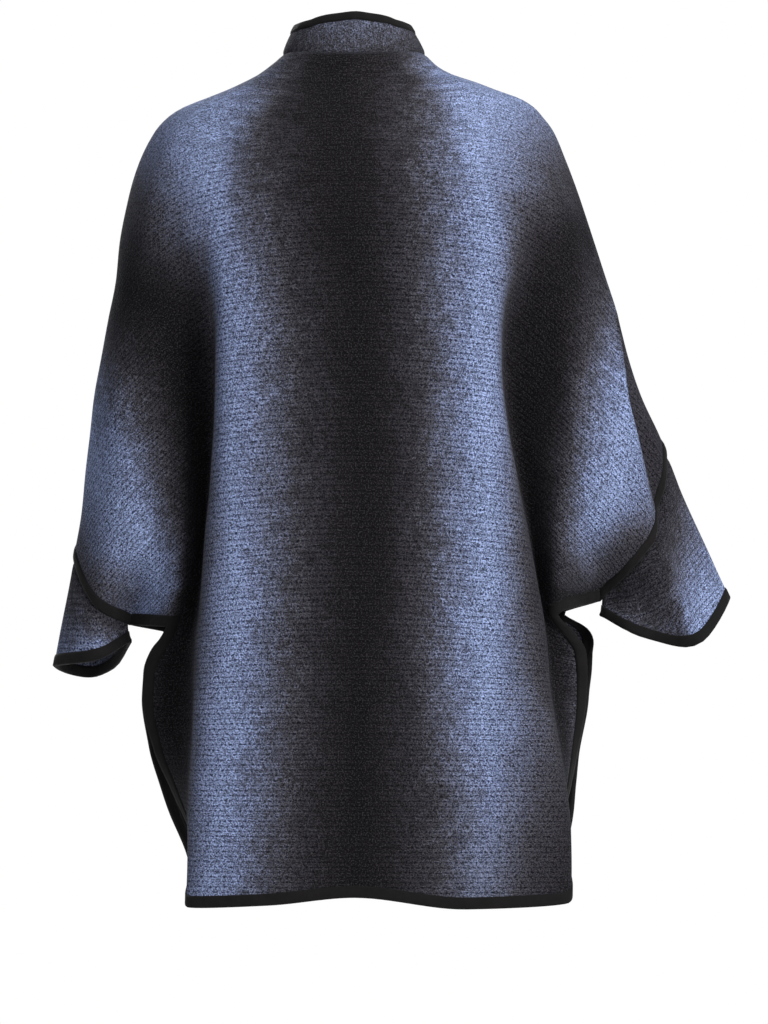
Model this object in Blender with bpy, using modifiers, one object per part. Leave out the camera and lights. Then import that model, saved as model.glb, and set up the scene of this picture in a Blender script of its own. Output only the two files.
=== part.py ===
"""Stand-collar knit cape sweater, worn: one back sheet, two fronts, a collar, flared cuffs and binding.

The wearer's left is +X, the front faces -Y and +Z is up. The origin is on the shoulders' level at the
nape, under the collar seam. Every sheet is part of one surface, which is lofted through 16 named lines
that run down the garment on each side, from the centre back round the sleeve to the centre front.
"""
import math

import bmesh
import bpy
import numpy as np

MM = 0.001

# Cloth and sewing
KNIT = 2.6 * MM              # thickness of the knit
TAPE = 1.0 * MM              # thickness of one face of the binding
SEAM = 0.3 * MM              # gap between pieces at a seam
BOUND = 10.5 * MM            # width of the binding on each face
BOUND_COLLAR = 7.5 * MM      # the same on the collar
NECK_EASE = 0.55 * MM        # how far collar and sheet stop short of the neck seam
SEAM_STRIP = 4 * MM          # width of the strip beside the shoulder seam
FOLD_STRIP = 6 * MM          # width of the strip on the sleeve's side of the inner fold
CUFF_GAP = 1.0 * MM          # the flared cuff starts this far below the sleeve end
UNDER_GAP = 2.5 * MM         # at the sleeve's under point it is this far from it each way
COLLAR_HEIGHT = (41, 28, 36)  # at the nape, the side and the centre front, millimetres
COLLAR_TOP = {"left": 64, "right": 57}       # half width of the collar's top edge
COLLAR_TOP_BACK, COLLAR_TOP_FRONT = 53, 61   # its depth behind and before
SLIT_TOP = {"left": (-592, -604), "right": (-580, -585)}    # its height on back and front

# The named lines round one half of the garment, and where each leaves the neck, as an angle that is
# 90 degrees at the centre back, 0 at the shoulder and -90 at the centre front
LINES = ("centre", "blade", "ridge", "valley", "side", "under", "sleeve", "outer", "shoulder_seam",
         "front_sleeve", "front_under", "front_side", "front_valley", "front_ridge", "bust", "opening")
ANGLES = (90, 75, 61, 53, 46, 37, 27, 0, -12, -27, -37, -46, -53, -61, -75, -89)
SIDE, UNDER, SHOULDER_SEAM = LINES.index("side"), LINES.index("under"), LINES.index("shoulder_seam")
FRONT_UNDER, FRONT_SIDE = LINES.index("front_under"), LINES.index("front_side")
OPENING = LINES.index("opening")

# Half width of the garment over shoulder and sleeve. All tables below are in millimetres.
OUTER = {
    # height: 0 is the neck seam
    "height": (0, -6, -14, -22, -30, -38, -46, -55, -64, -79, -107, -148, -189,
               -231, -273, -315, -357, -399, -441, -483, -525, -580, -620),
    "left": (76, 81, 91, 102, 117, 135, 157, 180, 195, 210, 225, 238, 246,
             251, 259, 267, 274, 279, 284, 289, 296, 303, 307),
    "right": (72, 77, 86, 101, 126, 149, 173, 187, 195, 206, 218, 234, 248,
              261, 274, 286, 300, 319, 336, 350, 362, 376, 385),
}
# The shoulders are a dome of rings: depth behind and before, how far the ring drops at the centre
# front, and how square it is (2 is an ellipse)
DOME_COLUMNS = ("height", "back", "front", "drop", "square")
DOME = (
    (0, 60, 68, 50, 2.0),
    (-17, 67, 76, 48, 1.8),
    (-34, 73, 84, 45, 1.65),
    (-51, 80, 92, 40, 1.6),
    (-76, 90, 102, 33, 1.75),
    (-105, 101, 113, 24, 1.95),
    (-147, 112, 126, 12, 2.15),
    (-189, 117, 133, 4, 2.3),
    (-231, 120, 136, 0, 2.4),
)
DROP_SHARE = (0, -0.01, -0.03, -0.05, -0.06, -0.08, -0.09, -0.1,
              -0.08, 0, 0.1, 0.22, 0.36, 0.55, 0.86, 1)
# Below the dome the cloth hangs: a soft fold runs down each side of the back, from ridge to valley
DOME_END, HANG_START = -150, -270
CENTRE_COLUMNS = ("height", "centre_y")
CENTRE = ((-200, 117), (-260, 120), (-400, 123), (-600, 128), (-880, 134))
BODY_COLUMNS = ("height", "ridge_x", "ridge_y", "valley_x", "valley_y", "side_x", "side_y")
BODY = {
    "left": (
        (-200, 129, 108, 153, 90, 176, 78),
        (-260, 134, 108, 152, 75, 177, 65),
        (-290, 135, 109, 149, 59, 177, 58),
        (-320, 135, 109, 148, 49, 177, 56),
        (-380, 136, 109, 149, 41, 177, 56),
        (-440, 140, 108, 153, 36, 176, 57),
        (-500, 145, 108, 158, 34, 177, 58),
        (-545, 148, 109, 162, 35, 184, 56),
        (-580, 150, 110, 166, 40, 190, 50),
        (-600, 152, 110, 170, 44, 197, 47),
        (-620, 154, 110, 172, 48, 209, 44),
        (-645, 156, 110, 172, 51, 218, 39),
        (-670, 157, 111, 171, 54, 219, 36),
        (-722, 159, 112, 172, 62, 208, 32),
        (-760, 161, 113, 172, 70, 191, 31),
        (-800, 164, 114, 171, 80, 172, 34),
        (-840, 166, 114, 169, 88, 156, 40),
        (-880, 168, 115, 168, 92, 148, 48),
    ),
    "right": (
        (-200, 148, 106, 169, 90, 188, 78),
        (-260, 143, 107, 160, 70, 194, 64),
        (-290, 141, 107, 156, 54, 197, 58),
        (-320, 142, 106, 155, 46, 200, 56),
        (-380, 147, 105, 161, 38, 206, 57),
        (-440, 157, 105, 171, 34, 209, 59),
        (-500, 169, 105, 182, 32, 210, 59),
        (-545, 178, 105, 189, 33, 208, 52),
        (-580, 184, 106, 194, 35, 208, 45),
        (-600, 187, 107, 197, 38, 224, 43),
        (-620, 189, 108, 200, 42, 237, 40),
        (-645, 191, 109, 202, 47, 239, 37),
        (-670, 194, 110, 205, 54, 238, 34),
        (-722, 203, 110, 211, 66, 229, 32),
        (-760, 210, 110, 216, 76, 221, 32),
        (-800, 215, 110, 219, 85, 210, 36),
        (-840, 216, 111, 219, 91, 198, 42),
        (-880, 216, 112, 218, 95, 188, 50),
    ),
}
# The sleeve hangs from the arm; back and front meet at its under point
SLEEVE_COLUMNS = ("height", "under_x", "under_y", "sleeve_x", "sleeve_y", "outer_y")
SLEEVE = {
    "left": (
        (-200, 200, 60, 226, 44, 0),
        (-260, 204, 58, 232, 44, -2),
        (-320, 207, 58, 238, 46, -4),
        (-380, 208, 60, 244, 48, -6),
        (-440, 209, 60, 248, 48, -8),
        (-500, 214, 50, 256, 44, -10),
        (-554, 228, 23, 264, 38, -12),
        (-578, 235, 4, 268, 32, -13),
        (-590, 237, 3, 270, 29, -14),
        (-620, 240, 3, 276, 26, -16),
    ),
    "right": (
        (-200, 208, 62, 230, 46, 0),
        (-260, 216, 62, 246, 46, -2),
        (-320, 223, 64, 258, 46, -6),
        (-380, 230, 64, 272, 44, -10),
        (-440, 236, 60, 284, 42, -16),
        (-500, 243, 46, 294, 38, -22),
        (-536, 250, 20, 299, 31, -25),
        (-555, 255, 4, 302, 28, -27),
        (-567, 256, 3, 303, 26, -28),
        (-620, 262, 3, 310, 22, -30),
    ),
}
# The fronts hang like the back
FRONT_COLUMNS = ("height", "opening_y", "bust_y", "ridge_y", "valley_y", "side_y")
FRONT = (
    (-200, -126, -131, -108, -85, -74),
    (-260, -132, -136, -112, -71, -64),
    (-320, -130, -134, -112, -50, -59),
    (-380, -128, -132, -112, -40, -57),
    (-440, -126, -131, -112, -34, -56),
    (-500, -125, -130, -113, -32, -53),
    (-545, -125, -130, -113, -31, -48),
    (-580, -125, -130, -114, -31, -40),
    (-600, -125, -130, -114, -32, -35),
    (-620, -125, -130, -114, -34, -30),
    (-652, -125, -130, -114, -36, -26),
    (-716, -125, -130, -114, -46, -22),
    (-758, -125, -130, -114, -56, -20),
    (-800, -125, -130, -114, -66, -22),
    (-880, -125, -130, -114, -76, -30),
)
# How far the fronts' side edge stands outside the back's
LEAD_COLUMNS = ("height", "lead")
LEAD = {
    "left": ((-200, 0), (-580, 0), (-604, 2), (-625, 6), (-652, 5), (-685, 6), (-722, 9),
             (-760, 15), (-800, 20), (-840, 20), (-880, 16)),
    "right": ((-200, 0), (-545, 0), (-585, 10), (-602, 20), (-622, 11), (-645, 8), (-670, 6),
              (-722, 6), (-760, 9), (-800, 16), (-840, 20), (-880, 24)),
}
# Where each line ends: at the hem, or from the side to the front side at the sleeve end
ENDS = {
    "left": (-863, -871, -875, -860, -834, -592, -574, -524,
             -512, -547, -592, -842, -862, -872, -872, -869),
    "right": (-863, -875, -871, -854, -828, -567, -520, -413,
              -402, -490, -567, -840, -860, -870, -871, -869),
}
# The cuff hem: place is the line above it, between two lines where it is not whole
CUFF_COLUMNS = ("place", "x", "y", "z")
CUFF = {
    "left": (
        (5, 237, 3, -609),
        (6, 271, 38, -628),
        (7, 316, -4, -636),
        (8, 309, -35, -644),
        (9, 283, -58, -650),
        (9.5, 259, -42, -640),
        (10, 238, -3, -611),
    ),
    "right": (
        (5, 257, 3, -582),
        (5.6, 294, 32, -602),
        (6.3, 347, 34, -614),
        (7, 395, -10, -563),
        (8, 380, -45, -582),
        (9, 320, -62, -606),
        (10, 258, -3, -583),
    ),
}
# How many faces lie between one line and the next
STEPS = (3, 3, 3, 3, 3, 2, 3, 2, 3, 2, 3, 3, 3, 3, 3)
UPPER_SPAN = 580             # the rows above the slit top are stated for this length
UPPER_ROWS = (0, 9, 19, 30, 42, 56, 76, 104, 140, 182, 230, 282, 336, 392, 448, 500, 540)
LOWER_SHARES = (0.09, 0.2, 0.36, 0.54, 0.72, 0.86)
COLLAR_PLACES = (0, 1, 2, 3.5, 5, 6, 6.6, 7.2, 8, 9, 10.5, 12, 13, 14)
COLLAR_SHARES = (0, 0.28)
CUFF_SHARES = (0, 0.33, 0.67)

COLOURS = {
    "knit": ((0.10, 0.13, 0.22, 1.0), 0.95),
    "binding": ((0.012, 0.012, 0.013, 1.0), 0.8),
}


def monotone(rows, values, at):
    """Smooth curve through (rows, values) that never overshoots; rows fall, at is any height."""
    x = -np.asarray(rows, float)
    y = np.asarray(values, float)
    at = np.clip(-np.asarray(at, float), x[0], x[-1])
    step = np.diff(x)
    rise = np.diff(y) / step
    slope = np.concatenate(([rise[0]], np.zeros(len(x) - 2), [rise[-1]]))
    same_way = rise[:-1] * rise[1:] > 0
    before, after = rise[:-1][same_way], rise[1:][same_way]
    slope[1:-1][same_way] = 2 * before * after / (before + after)
    k = np.clip(np.searchsorted(x, at) - 1, 0, len(x) - 2)
    t = (at - x[k]) / step[k]
    return ((2 * t**3 - 3 * t**2 + 1) * y[k] + (t**3 - 2 * t**2 + t) * step[k] * slope[k]
            + (3 * t**2 - 2 * t**3) * y[k + 1] + (t**3 - t**2) * step[k] * slope[k + 1])


def columns(table, names, at):
    """Every named column of a table at the heights in at."""
    rows = list(zip(*table))
    return {name: monotone(rows[0], values, at) for name, values in zip(names, rows)}


def smoothstep(start, end, at):
    t = np.clip((at - start) / (end - start), 0, 1)
    return t * t * (3 - 2 * t)


def dome_ring(half_width, dome):
    """Points of the 16 lines on a ring of the shoulder dome."""
    ring = []
    for angle in np.radians(ANGLES):
        depth = dome["back"] if angle > 0 else dome["front"]
        power = 2 / dome["square"]
        x = half_width * abs(math.cos(angle)) ** power
        y = np.sign(angle) * depth * abs(math.sin(angle)) ** power
        ring.append((x, y))
    return np.array(ring)


def hanging_ring(side, half_width, at):
    """Points of the 16 lines on a level section of the hanging cloth."""
    centre = columns(CENTRE, CENTRE_COLUMNS, at)["centre_y"]
    body = columns(BODY[side], BODY_COLUMNS, at)
    sleeve = columns(SLEEVE[side], SLEEVE_COLUMNS, at)
    front = columns(FRONT, FRONT_COLUMNS, at)
    lead = columns(LEAD[side], LEAD_COLUMNS, at)["lead"]
    edge = np.full_like(at, (1.5 * SEAM + TAPE) / MM)
    ring = (
        (0 * at, centre),
        (0.52 * body["ridge_x"], 0.8 * centre + 0.2 * body["ridge_y"] + 1),
        (body["ridge_x"], body["ridge_y"]),
        (body["valley_x"], body["valley_y"]),
        (body["side_x"], body["side_y"]),
        (sleeve["under_x"], sleeve["under_y"]),
        (sleeve["sleeve_x"], sleeve["sleeve_y"]),
        (half_width, sleeve["outer_y"]),
        (half_width - 4, sleeve["outer_y"] - 22),
        (sleeve["sleeve_x"], 2 * sleeve["outer_y"] - sleeve["sleeve_y"]),
        (sleeve["under_x"], -sleeve["under_y"]),
        (body["side_x"] + lead, front["side_y"]),
        (body["valley_x"], front["valley_y"]),
        (body["ridge_x"], front["ridge_y"]),
        (0.52 * body["ridge_x"], front["bust_y"]),
        (edge, front["opening_y"]),
    )
    return np.array(ring)


def lines_at(side, heights):
    """The 16 line points (metres) on each of the heights (millimetres): array height, line, xyz."""
    half_width = monotone(OUTER["height"], OUTER[side], heights)
    dome = columns(DOME, DOME_COLUMNS, heights)
    hang = smoothstep(DOME_END, HANG_START, heights)
    ring = (1 - hang) * dome_ring(half_width, dome) + hang * hanging_ring(side, half_width, heights)
    ring[OPENING, 0] = (1.5 * SEAM + TAPE) / MM
    z = heights - np.outer(DROP_SHARE, dome["drop"])
    turn = 1 if side == "left" else -1
    return np.stack((turn * ring[:, 0], ring[:, 1], z), axis=-1).transpose(1, 0, 2) * MM


HEIGHTS = np.linspace(0, -880, 881)
LINE_POINTS = {side: lines_at(side, HEIGHTS) for side in ("left", "right")}


def through(points, place):
    """Centripetal spline through points (..., n, 3) at place, 0 to n - 1, one place for each row."""
    k = np.clip(np.floor(place).astype(int), 0, points.shape[-2] - 4)
    row = np.arange(len(place))
    p0, p1, p2, p3 = (points[row, k + i] for i in range(4))
    t = (place - k)[:, None]

    def root(a, b):
        return np.sqrt(np.linalg.norm(b - a, axis=-1, keepdims=True)) + 1e-9

    d0, d1, d2 = root(p0, p1), root(p1, p2), root(p2, p3)
    m1 = ((p1 - p0) / d0 - (p2 - p0) / (d0 + d1) + (p2 - p1) / d1) * d1
    m2 = ((p2 - p1) / d1 - (p3 - p1) / (d1 + d2) + (p3 - p2) / d2) * d1
    return ((2 * t**3 - 3 * t**2 + 1) * p1 + (t**3 - 2 * t**2 + t) * m1
            + (3 * t**2 - 2 * t**3) * p2 + (t**3 - t**2) * m2)


def surface(side, place, height):
    """Points of the garment's middle surface: place runs over the lines, height is in millimetres."""
    place, height = np.broadcast_arrays(np.asarray(place, float), np.asarray(height, float))
    shape = place.shape
    place, height = place.ravel(), np.clip(height.ravel(), -879.999, 0)
    low = np.floor(-height).astype(int)
    part = (-height - low)[:, None, None]
    lines = LINE_POINTS[side]
    rings = lines[low] * (1 - part) + lines[low + 1] * part
    mirror = np.array((-1, 1, 1))
    rings = np.concatenate((rings[:, 1:2] * mirror, rings, rings[:, -2:-1] * mirror), axis=1)
    return through(rings, place).reshape(shape + (3,))


def end_height(side, place, first, last):
    """Height at which the cloth ends, for places between two of the lines."""
    knots, ends = list(range(first, last + 1)), ENDS[side][first:last + 1]
    if first == 0:           # level where the two halves meet
        knots, ends = [-1] + knots, ends[1:2] + ends
    return monotone(-np.array(knots), ends, -np.asarray(place, float))


def places(first, last):
    """Places of the columns of faces from one line to another."""
    found = [first + 0.0]
    for line in range(first, last):
        found += [line + (k + 1) / STEPS[line] for k in range(STEPS[line])]
    return found


def margin_place(side, edge, inward, height, width):
    """Place that lies width inside the edge line, measured over the cloth at that height."""
    tries = edge + inward * np.linspace(0, 1, 201)
    points = surface(side, tries, height)
    run = np.concatenate(([0], np.cumsum(np.linalg.norm(np.diff(points, axis=0), axis=1))))
    return float(np.interp(min(width, 0.4 * run[-1]), run, tries))


def margin_height(side, place, end, width):
    """Height that lies width above the end of a column."""
    pair = surface(side, [place, place], [end, end + 1])
    return end + width / np.linalg.norm(pair[1] - pair[0])


def column_heights(side, place):
    """Heights of one column's rows: to the sleeve end, or past the slit top to the hem."""
    back_top, front_top = SLIT_TOP[side]
    if place <= SIDE:
        centre_top = (SLIT_TOP["left"][0] + SLIT_TOP["right"][0]) / 2
        upper_end = centre_top + place / SIDE * (back_top - centre_top)
        hem = float(end_height(side, place, 0, SIDE))
    elif place >= FRONT_SIDE:
        upper_end, hem = front_top, float(end_height(side, place, FRONT_SIDE, OPENING))
    elif place < UNDER:
        upper_end = back_top + (place - SIDE) * (ENDS[side][UNDER] - back_top)
    elif place > FRONT_UNDER:
        upper_end = front_top + (FRONT_SIDE - place) * (ENDS[side][FRONT_UNDER] - front_top)
    else:
        upper_end = float(end_height(side, place, UNDER, FRONT_UNDER))
    heights = [upper_end * row / UPPER_SPAN for row in UPPER_ROWS]
    heights[0] = -NECK_EASE / MM
    heights += [margin_height(side, place, upper_end, BOUND), upper_end]
    if place <= SIDE or place >= FRONT_SIDE:
        margin = margin_height(side, place, hem, BOUND)
        heights += [upper_end + share * (margin - upper_end) for share in LOWER_SHARES]
        heights += [margin, hem]
    return heights


# Lines that are a sheet's edge: the way into the sheet, and the width of its first strip of faces
BACK_EDGES = ((SIDE, -1, BOUND), (SIDE, 1, FOLD_STRIP), (SHOULDER_SEAM, -1, SEAM_STRIP))
FRONT_EDGES = ((SHOULDER_SEAM, 1, SEAM_STRIP), (FRONT_SIDE, 1, BOUND),
               (FRONT_SIDE, -1, FOLD_STRIP), (OPENING, -1, BOUND))
SLIT_ROW = len(UPPER_ROWS) + 1
HEM_ROW = SLIT_ROW + len(LOWER_SHARES) + 2


class Panel:
    """An open sheet of points and faces; each point is known by its row and column."""

    def __init__(self):
        self.index = {}
        self.points = []
        self.faces = []

    def add(self, key, point):
        self.index[key] = len(self.points)
        self.points.append(point)

    def cell(self, row, column):
        """The two triangles between two rows and two columns, always cut the same way."""
        a, b, c, d = (self.index[key] for key in (
            (row, column), (row, column + 1), (row + 1, column + 1), (row + 1, column)))
        return [(a, b, c), (a, c, d)]

    def fill(self):
        """Adds each cell whose four corners are there."""
        for row, column in list(self.index):
            corners = ((row + 1, column), (row + 1, column + 1), (row, column + 1))
            if all(key in self.index for key in corners):
                self.faces += self.cell(row, column)

    def faces_of(self, cells):
        return [face for cell in sorted(cells) for face in self.cell(*cell)]

    def row(self, row):
        """Every point of one row."""
        return {self.index[key] for key in self.index if key[0] == row}

    def normals(self):
        mesh = bpy.data.meshes.new("normals")
        mesh.from_pydata(self.points, [], self.faces)
        found = np.array([tuple(vertex.normal) for vertex in mesh.vertices])
        bpy.data.meshes.remove(mesh)
        return found


def moved(place, side, height, edges):
    """Where a column really lies: beside an edge line the first column is that edge's margin."""
    for edge, inward, width in edges:
        away = (place - edge) * inward
        if edge == SHOULDER_SEAM and away == 0:
            return margin_place(side, edge, inward, height, SEAM / 2)
        if 0 < away < 1:
            steps = STEPS[min(edge, edge + inward)]
            inner = margin_place(side, edge, inward, height, width)
            return inner + (round(away * steps) - 1) / (steps - 1) * (edge + inward - inner)
    return place


def half_columns(side, first, last, edges):
    """Points of each column of one half of a sheet, from one line to another."""
    found = []
    for place in places(first, last):
        heights = column_heights(side, place)
        row_places = [moved(place, side, height, edges) for height in heights]
        found.append(surface(side, row_places, heights))
    return found


def back_panel():
    panel = Panel()
    for side, turn in (("left", 1), ("right", -1)):
        for column, points in enumerate(half_columns(side, 0, SHOULDER_SEAM, BACK_EDGES)):
            if column == 0 and side == "right":
                continue
            for row, point in enumerate(points):
                panel.add((row, turn * column), point)
    panel.fill()
    return panel


def front_panel(side):
    """Columns run from the shoulder seam on the left front and to it on the right, to face out."""
    turn = 1 if side == "left" else -1
    panel = Panel()
    for column, points in enumerate(half_columns(side, SHOULDER_SEAM, OPENING, FRONT_EDGES)):
        for row, point in enumerate(points):
            panel.add((row, turn * column), point)
    panel.fill()
    return panel


def sleeve_ring(side, back, front):
    """The columns that end at the cuff, from the under point round the back: sheet, column, place."""
    turn = 1 if side == "left" else -1
    under = count_steps(0, UNDER)
    ring = []
    for k, place in enumerate(places(UNDER, SHOULDER_SEAM)[:-1]):
        end = end_height(side, place, UNDER, FRONT_UNDER)
        ring.append((back, turn * (under + k), moved(place, side, end, BACK_EDGES)))
    for k, place in enumerate(places(SHOULDER_SEAM, FRONT_UNDER)):
        end = end_height(side, place, UNDER, FRONT_UNDER)
        ring.append((front, turn * k, moved(place, side, end, FRONT_EDGES)))
    return ring


def sleeve_band(side, back, front):
    """The sleeve's last faces, all round its end, as a strip of its own."""
    turn = 1 if side == "left" else -1
    band = Panel()
    for row in (0, 1):
        for place, (sheet, column, _) in enumerate(sleeve_ring(side, back, front)):
            band.add((row, turn * place), sheet.points[sheet.index[SLIT_ROW - 1 + row, column]])
    band.fill()
    return band


def cuff_panel(side, back, front):
    """From the sleeve end out to the flared hem, open along the seam at its under point."""
    turn = 1 if side == "left" else -1
    table = dict(zip(CUFF_COLUMNS, zip(*CUFF[side])))
    panel = Panel()
    band = sleeve_band(side, back, front)
    hem_row = band.row(1)
    bottom = {edge for edge in directed_edges(band.faces) if hem_row.issuperset(edge)}
    ways = outward(np.array(band.points), band.normals(), band.faces, bottom)
    ring = sleeve_ring(side, back, front)
    for column, (_, _, place) in enumerate(ring):
        index = band.index[1, turn * column]
        way = ways[index]
        fall = band.points[index] - band.points[band.index[0, turn * column]]
        fall = fall / np.linalg.norm(fall)
        start = band.points[index] + CUFF_GAP * way
        if column in (0, len(ring) - 1):
            inward = band.points[band.index[1, turn * abs(column - 1)]] - band.points[index]
            start = start + UNDER_GAP * (way / 2 + inward / np.linalg.norm(inward))
        hem = np.array([monotone(-np.array(table["place"]), table[axis], -place)
                        for axis in ("x", "y", "z")]) * MM
        hem[0] *= turn
        reach = hem - start
        length = np.linalg.norm(reach)
        margin = 1 - min(BOUND, 0.6 * length) / length
        for row, share in enumerate([part * margin for part in CUFF_SHARES] + [margin, 1]):
            bend = share * (1 - share) ** 2 * (length * fall - reach)
            panel.add((row, turn * column), start + share * reach + bend)
    panel.fill()
    return panel


def collar_top(side):
    """Points of the 16 lines on the collar's top edge."""
    base = LINE_POINTS[side][0]
    angles = np.radians(ANGLES)
    depth = np.where(angles > 0, COLLAR_TOP_BACK, COLLAR_TOP_FRONT)
    sides = (0, LINES.index("outer"), OPENING)
    height = monotone(-np.array(sides), COLLAR_HEIGHT, -np.arange(len(LINES)))
    turn = 1 if side == "left" else -1
    x = turn * COLLAR_TOP[side] * np.cos(angles) * MM
    x[OPENING] = base[OPENING, 0]
    return np.stack((x, depth * np.sin(angles) * MM, base[:, 2] + height * MM), axis=-1)


def collar_panel():
    mirror = np.array((-1, 1, 1))
    panel = Panel()
    for side, turn in (("left", 1), ("right", -1)):
        top = collar_top(side)
        top = np.concatenate((top[1:2] * mirror, top, top[-2:-1] * mirror))[None]
        edge = margin_place(side, OPENING, -1, 0, BOUND_COLLAR)
        for column, place in enumerate(COLLAR_PLACES + (edge, OPENING)):
            if column == 0 and side == "right":
                continue
            neck = surface(side, place, 0)
            upper = through(top, np.array([place]))[0]
            length = np.linalg.norm(upper - neck)
            ease, margin = NECK_EASE / length, 1 - BOUND_COLLAR / length
            shares = [ease + part * (margin - ease) for part in COLLAR_SHARES] + [margin, 1]
            for row, share in enumerate(reversed(shares)):
                panel.add((row, turn * column), neck + share * (upper - neck))
    panel.fill()
    return panel


def material(name, kind):
    colour, roughness = COLOURS[kind]
    made = bpy.data.materials.new(name)
    made.use_nodes = True
    shader = made.node_tree.nodes["Principled BSDF"]
    shader.inputs["Base Color"].default_value = colour
    shader.inputs["Roughness"].default_value = roughness
    made.diffuse_color = colour
    return made


def add_object(name, points, faces, kind, collection):
    mesh = bpy.data.meshes.new(name)
    mesh.from_pydata([tuple(point) for point in points], [], faces)
    mesh.shade_smooth()
    made = bpy.data.objects.new(name, mesh)
    made.data.materials.append(material(name, kind))
    collection.objects.link(made)
    return made


def cut_alike(made):
    """Cuts each four-sided face the same way on cloth and binding, so that they stay apart."""
    cut = made.modifiers.new("Cut", "TRIANGULATE")
    cut.quad_method = "BEAUTY"


def add_cloth(name, panel, collection):
    """A panel's middle surface, thickened to both sides."""
    made = add_object(name, panel.points, panel.faces, "knit", collection)
    shell = made.modifiers.new("Thickness", "SOLIDIFY")
    shell.thickness = KNIT
    shell.offset = 0
    cut_alike(made)


def face_normal(points, face):
    normal = np.cross(points[face[1]] - points[face[0]], points[face[2]] - points[face[0]])
    return normal / np.linalg.norm(normal)


def mitred(points, normals, faces):
    """Normals made longer where the cloth folds, so that what is moved out clears both its faces."""
    slants = {}
    for face in faces:
        for point in face:
            slants.setdefault(point, []).append(normals[point] @ face_normal(points, face))
    longer = np.array(normals)
    for point, found in slants.items():
        longer[point] = normals[point] / max(0.6, np.mean(found))
    return longer


def outward(points, normals, faces, free_edges):
    """For each point on a free edge, the way off the cloth's edge, square to the point's normal."""
    ways = {}
    for face in faces:
        for a, b in directed_edges([face]) & free_edges:
            way = np.cross(points[b] - points[a], face_normal(points, face))
            way /= np.linalg.norm(way)
            for point in (a, b):
                ways[point] = ways.get(point, 0) + way
    for point, way in ways.items():
        way = way - (way @ normals[point]) * normals[point]
        ways[point] = way / np.linalg.norm(way)
    return ways


def directed_edges(faces):
    return {(face[k], face[(k + 1) % len(face)]) for face in faces for k in range(len(face))}


def add_tape(name, points, normals, faces, free_edges, collection):
    """Tape over some of a panel's faces, moved out from its points, and folded round free edges.

    Without free edges it is a flat band on the outer face alone.
    """
    lift, top = KNIT / 2 + SEAM, KNIT / 2 + SEAM + TAPE
    off_edge = outward(points, normals, faces, free_edges)
    normals = mitred(points, normals, faces)
    layers = [("outer", top, SEAM + TAPE), ("inner", lift, SEAM)]
    if free_edges:
        layers += [("under_inner", -lift, SEAM), ("under_outer", -top, SEAM + TAPE)]
    mesh = bmesh.new()
    used = sorted({point for face in faces for point in face})
    made = {}
    for layer, height, past in layers:
        for point in used:
            place = points[point] + height * normals[point]
            if point in off_edge:
                place = place + past * off_edge[point]
            made[layer, point] = mesh.verts.new(place)

    def face(*corners):
        mesh.faces.new([made[corner] for corner in corners])

    slabs = [("outer", "inner")]
    if free_edges:
        slabs.append(("under_inner", "under_outer"))
    edges = directed_edges(faces)
    rims = [edge for edge in edges if edge[::-1] not in edges and edge not in free_edges]
    for upper, lower in slabs:
        for corners in faces:
            face(*[(upper, point) for point in corners])
            face(*[(lower, point) for point in reversed(corners)])
        for a, b in rims:
            face((upper, b), (upper, a), (lower, a), (lower, b))
    for a, b in free_edges:
        face(("outer", b), ("outer", a), ("under_outer", a), ("under_outer", b))
        face(("inner", a), ("inner", b), ("under_inner", b), ("under_inner", a))
    touched = [point for edge in free_edges for point in edge]
    for point in off_edge:
        if touched.count(point) == 1:
            face(("outer", point), ("under_outer", point), ("under_inner", point), ("inner", point))
    bmesh.ops.recalc_face_normals(mesh, faces=mesh.faces)
    data = bpy.data.meshes.new(name)
    mesh.to_mesh(data)
    mesh.free()
    made_object = bpy.data.objects.new(name, data)
    data.materials.append(material(name, "binding"))
    collection.objects.link(made_object)
    cut_alike(made_object)


def bind(name, panel, cells, collection, ends=()):
    """Binding over the cells (row, column) of a panel, folded round those of their edges that are
    the panel's own; at each end (column, next column) it stops a seam's gap short."""
    points = np.array(panel.points)
    faces = panel.faces_of(cells)
    panel_edges = directed_edges(panel.faces)
    neck = panel.row(0)
    free = [edge for edge in directed_edges(faces)
            if edge[::-1] not in panel_edges and not neck.issuperset(edge)]
    for end, inner in ends:
        stop = {panel.index[key] for key in panel.index if key[1] == end}
        free = [edge for edge in free if not stop.issuperset(edge)]
        for row in (SLIT_ROW - 1, SLIT_ROW):
            a, b = panel.index[row, end], panel.index[row, inner]
            step = points[b] - points[a]
            points[a] = points[a] + SEAM * step / np.linalg.norm(step)
    add_tape(name, points, panel.normals(), faces, set(free), collection)


def count_steps(first, last):
    return sum(STEPS[first:last])


def bind_back(panel, collection):
    side, under = count_steps(0, SIDE), count_steps(0, UNDER)
    cells, ends = set(), []
    for turn in (1, -1):
        def cell(row, column):
            return (row, column) if turn == 1 else (row, -column - 1)
        cells |= {cell(SLIT_ROW - 1, column) for column in range(side - 1, under)}
        cells |= {cell(row, side - 1) for row in range(SLIT_ROW, HEM_ROW)}
        cells |= {cell(HEM_ROW - 1, column) for column in range(side)}
        ends.append((turn * under, turn * (under - 1)))
    bind("binding_back", panel, cells, collection, ends)


def bind_front(side, panel, collection):
    turn = 1 if side == "left" else -1
    under = count_steps(SHOULDER_SEAM, FRONT_UNDER)
    edge = count_steps(SHOULDER_SEAM, FRONT_SIDE)
    last = count_steps(SHOULDER_SEAM, OPENING)

    def cell(row, column):
        return (row, column) if turn == 1 else (row, -column - 1)

    cells = {cell(SLIT_ROW - 1, column) for column in range(under, edge + 1)}
    cells |= {cell(row, edge) for row in range(SLIT_ROW, HEM_ROW)}
    cells |= {cell(HEM_ROW - 1, column) for column in range(edge, last)}
    cells |= {cell(row, last - 1) for row in range(HEM_ROW)}
    ends = [(turn * under, turn * (under + 1))]
    bind("binding_front_" + side, panel, cells, collection, ends)


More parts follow.
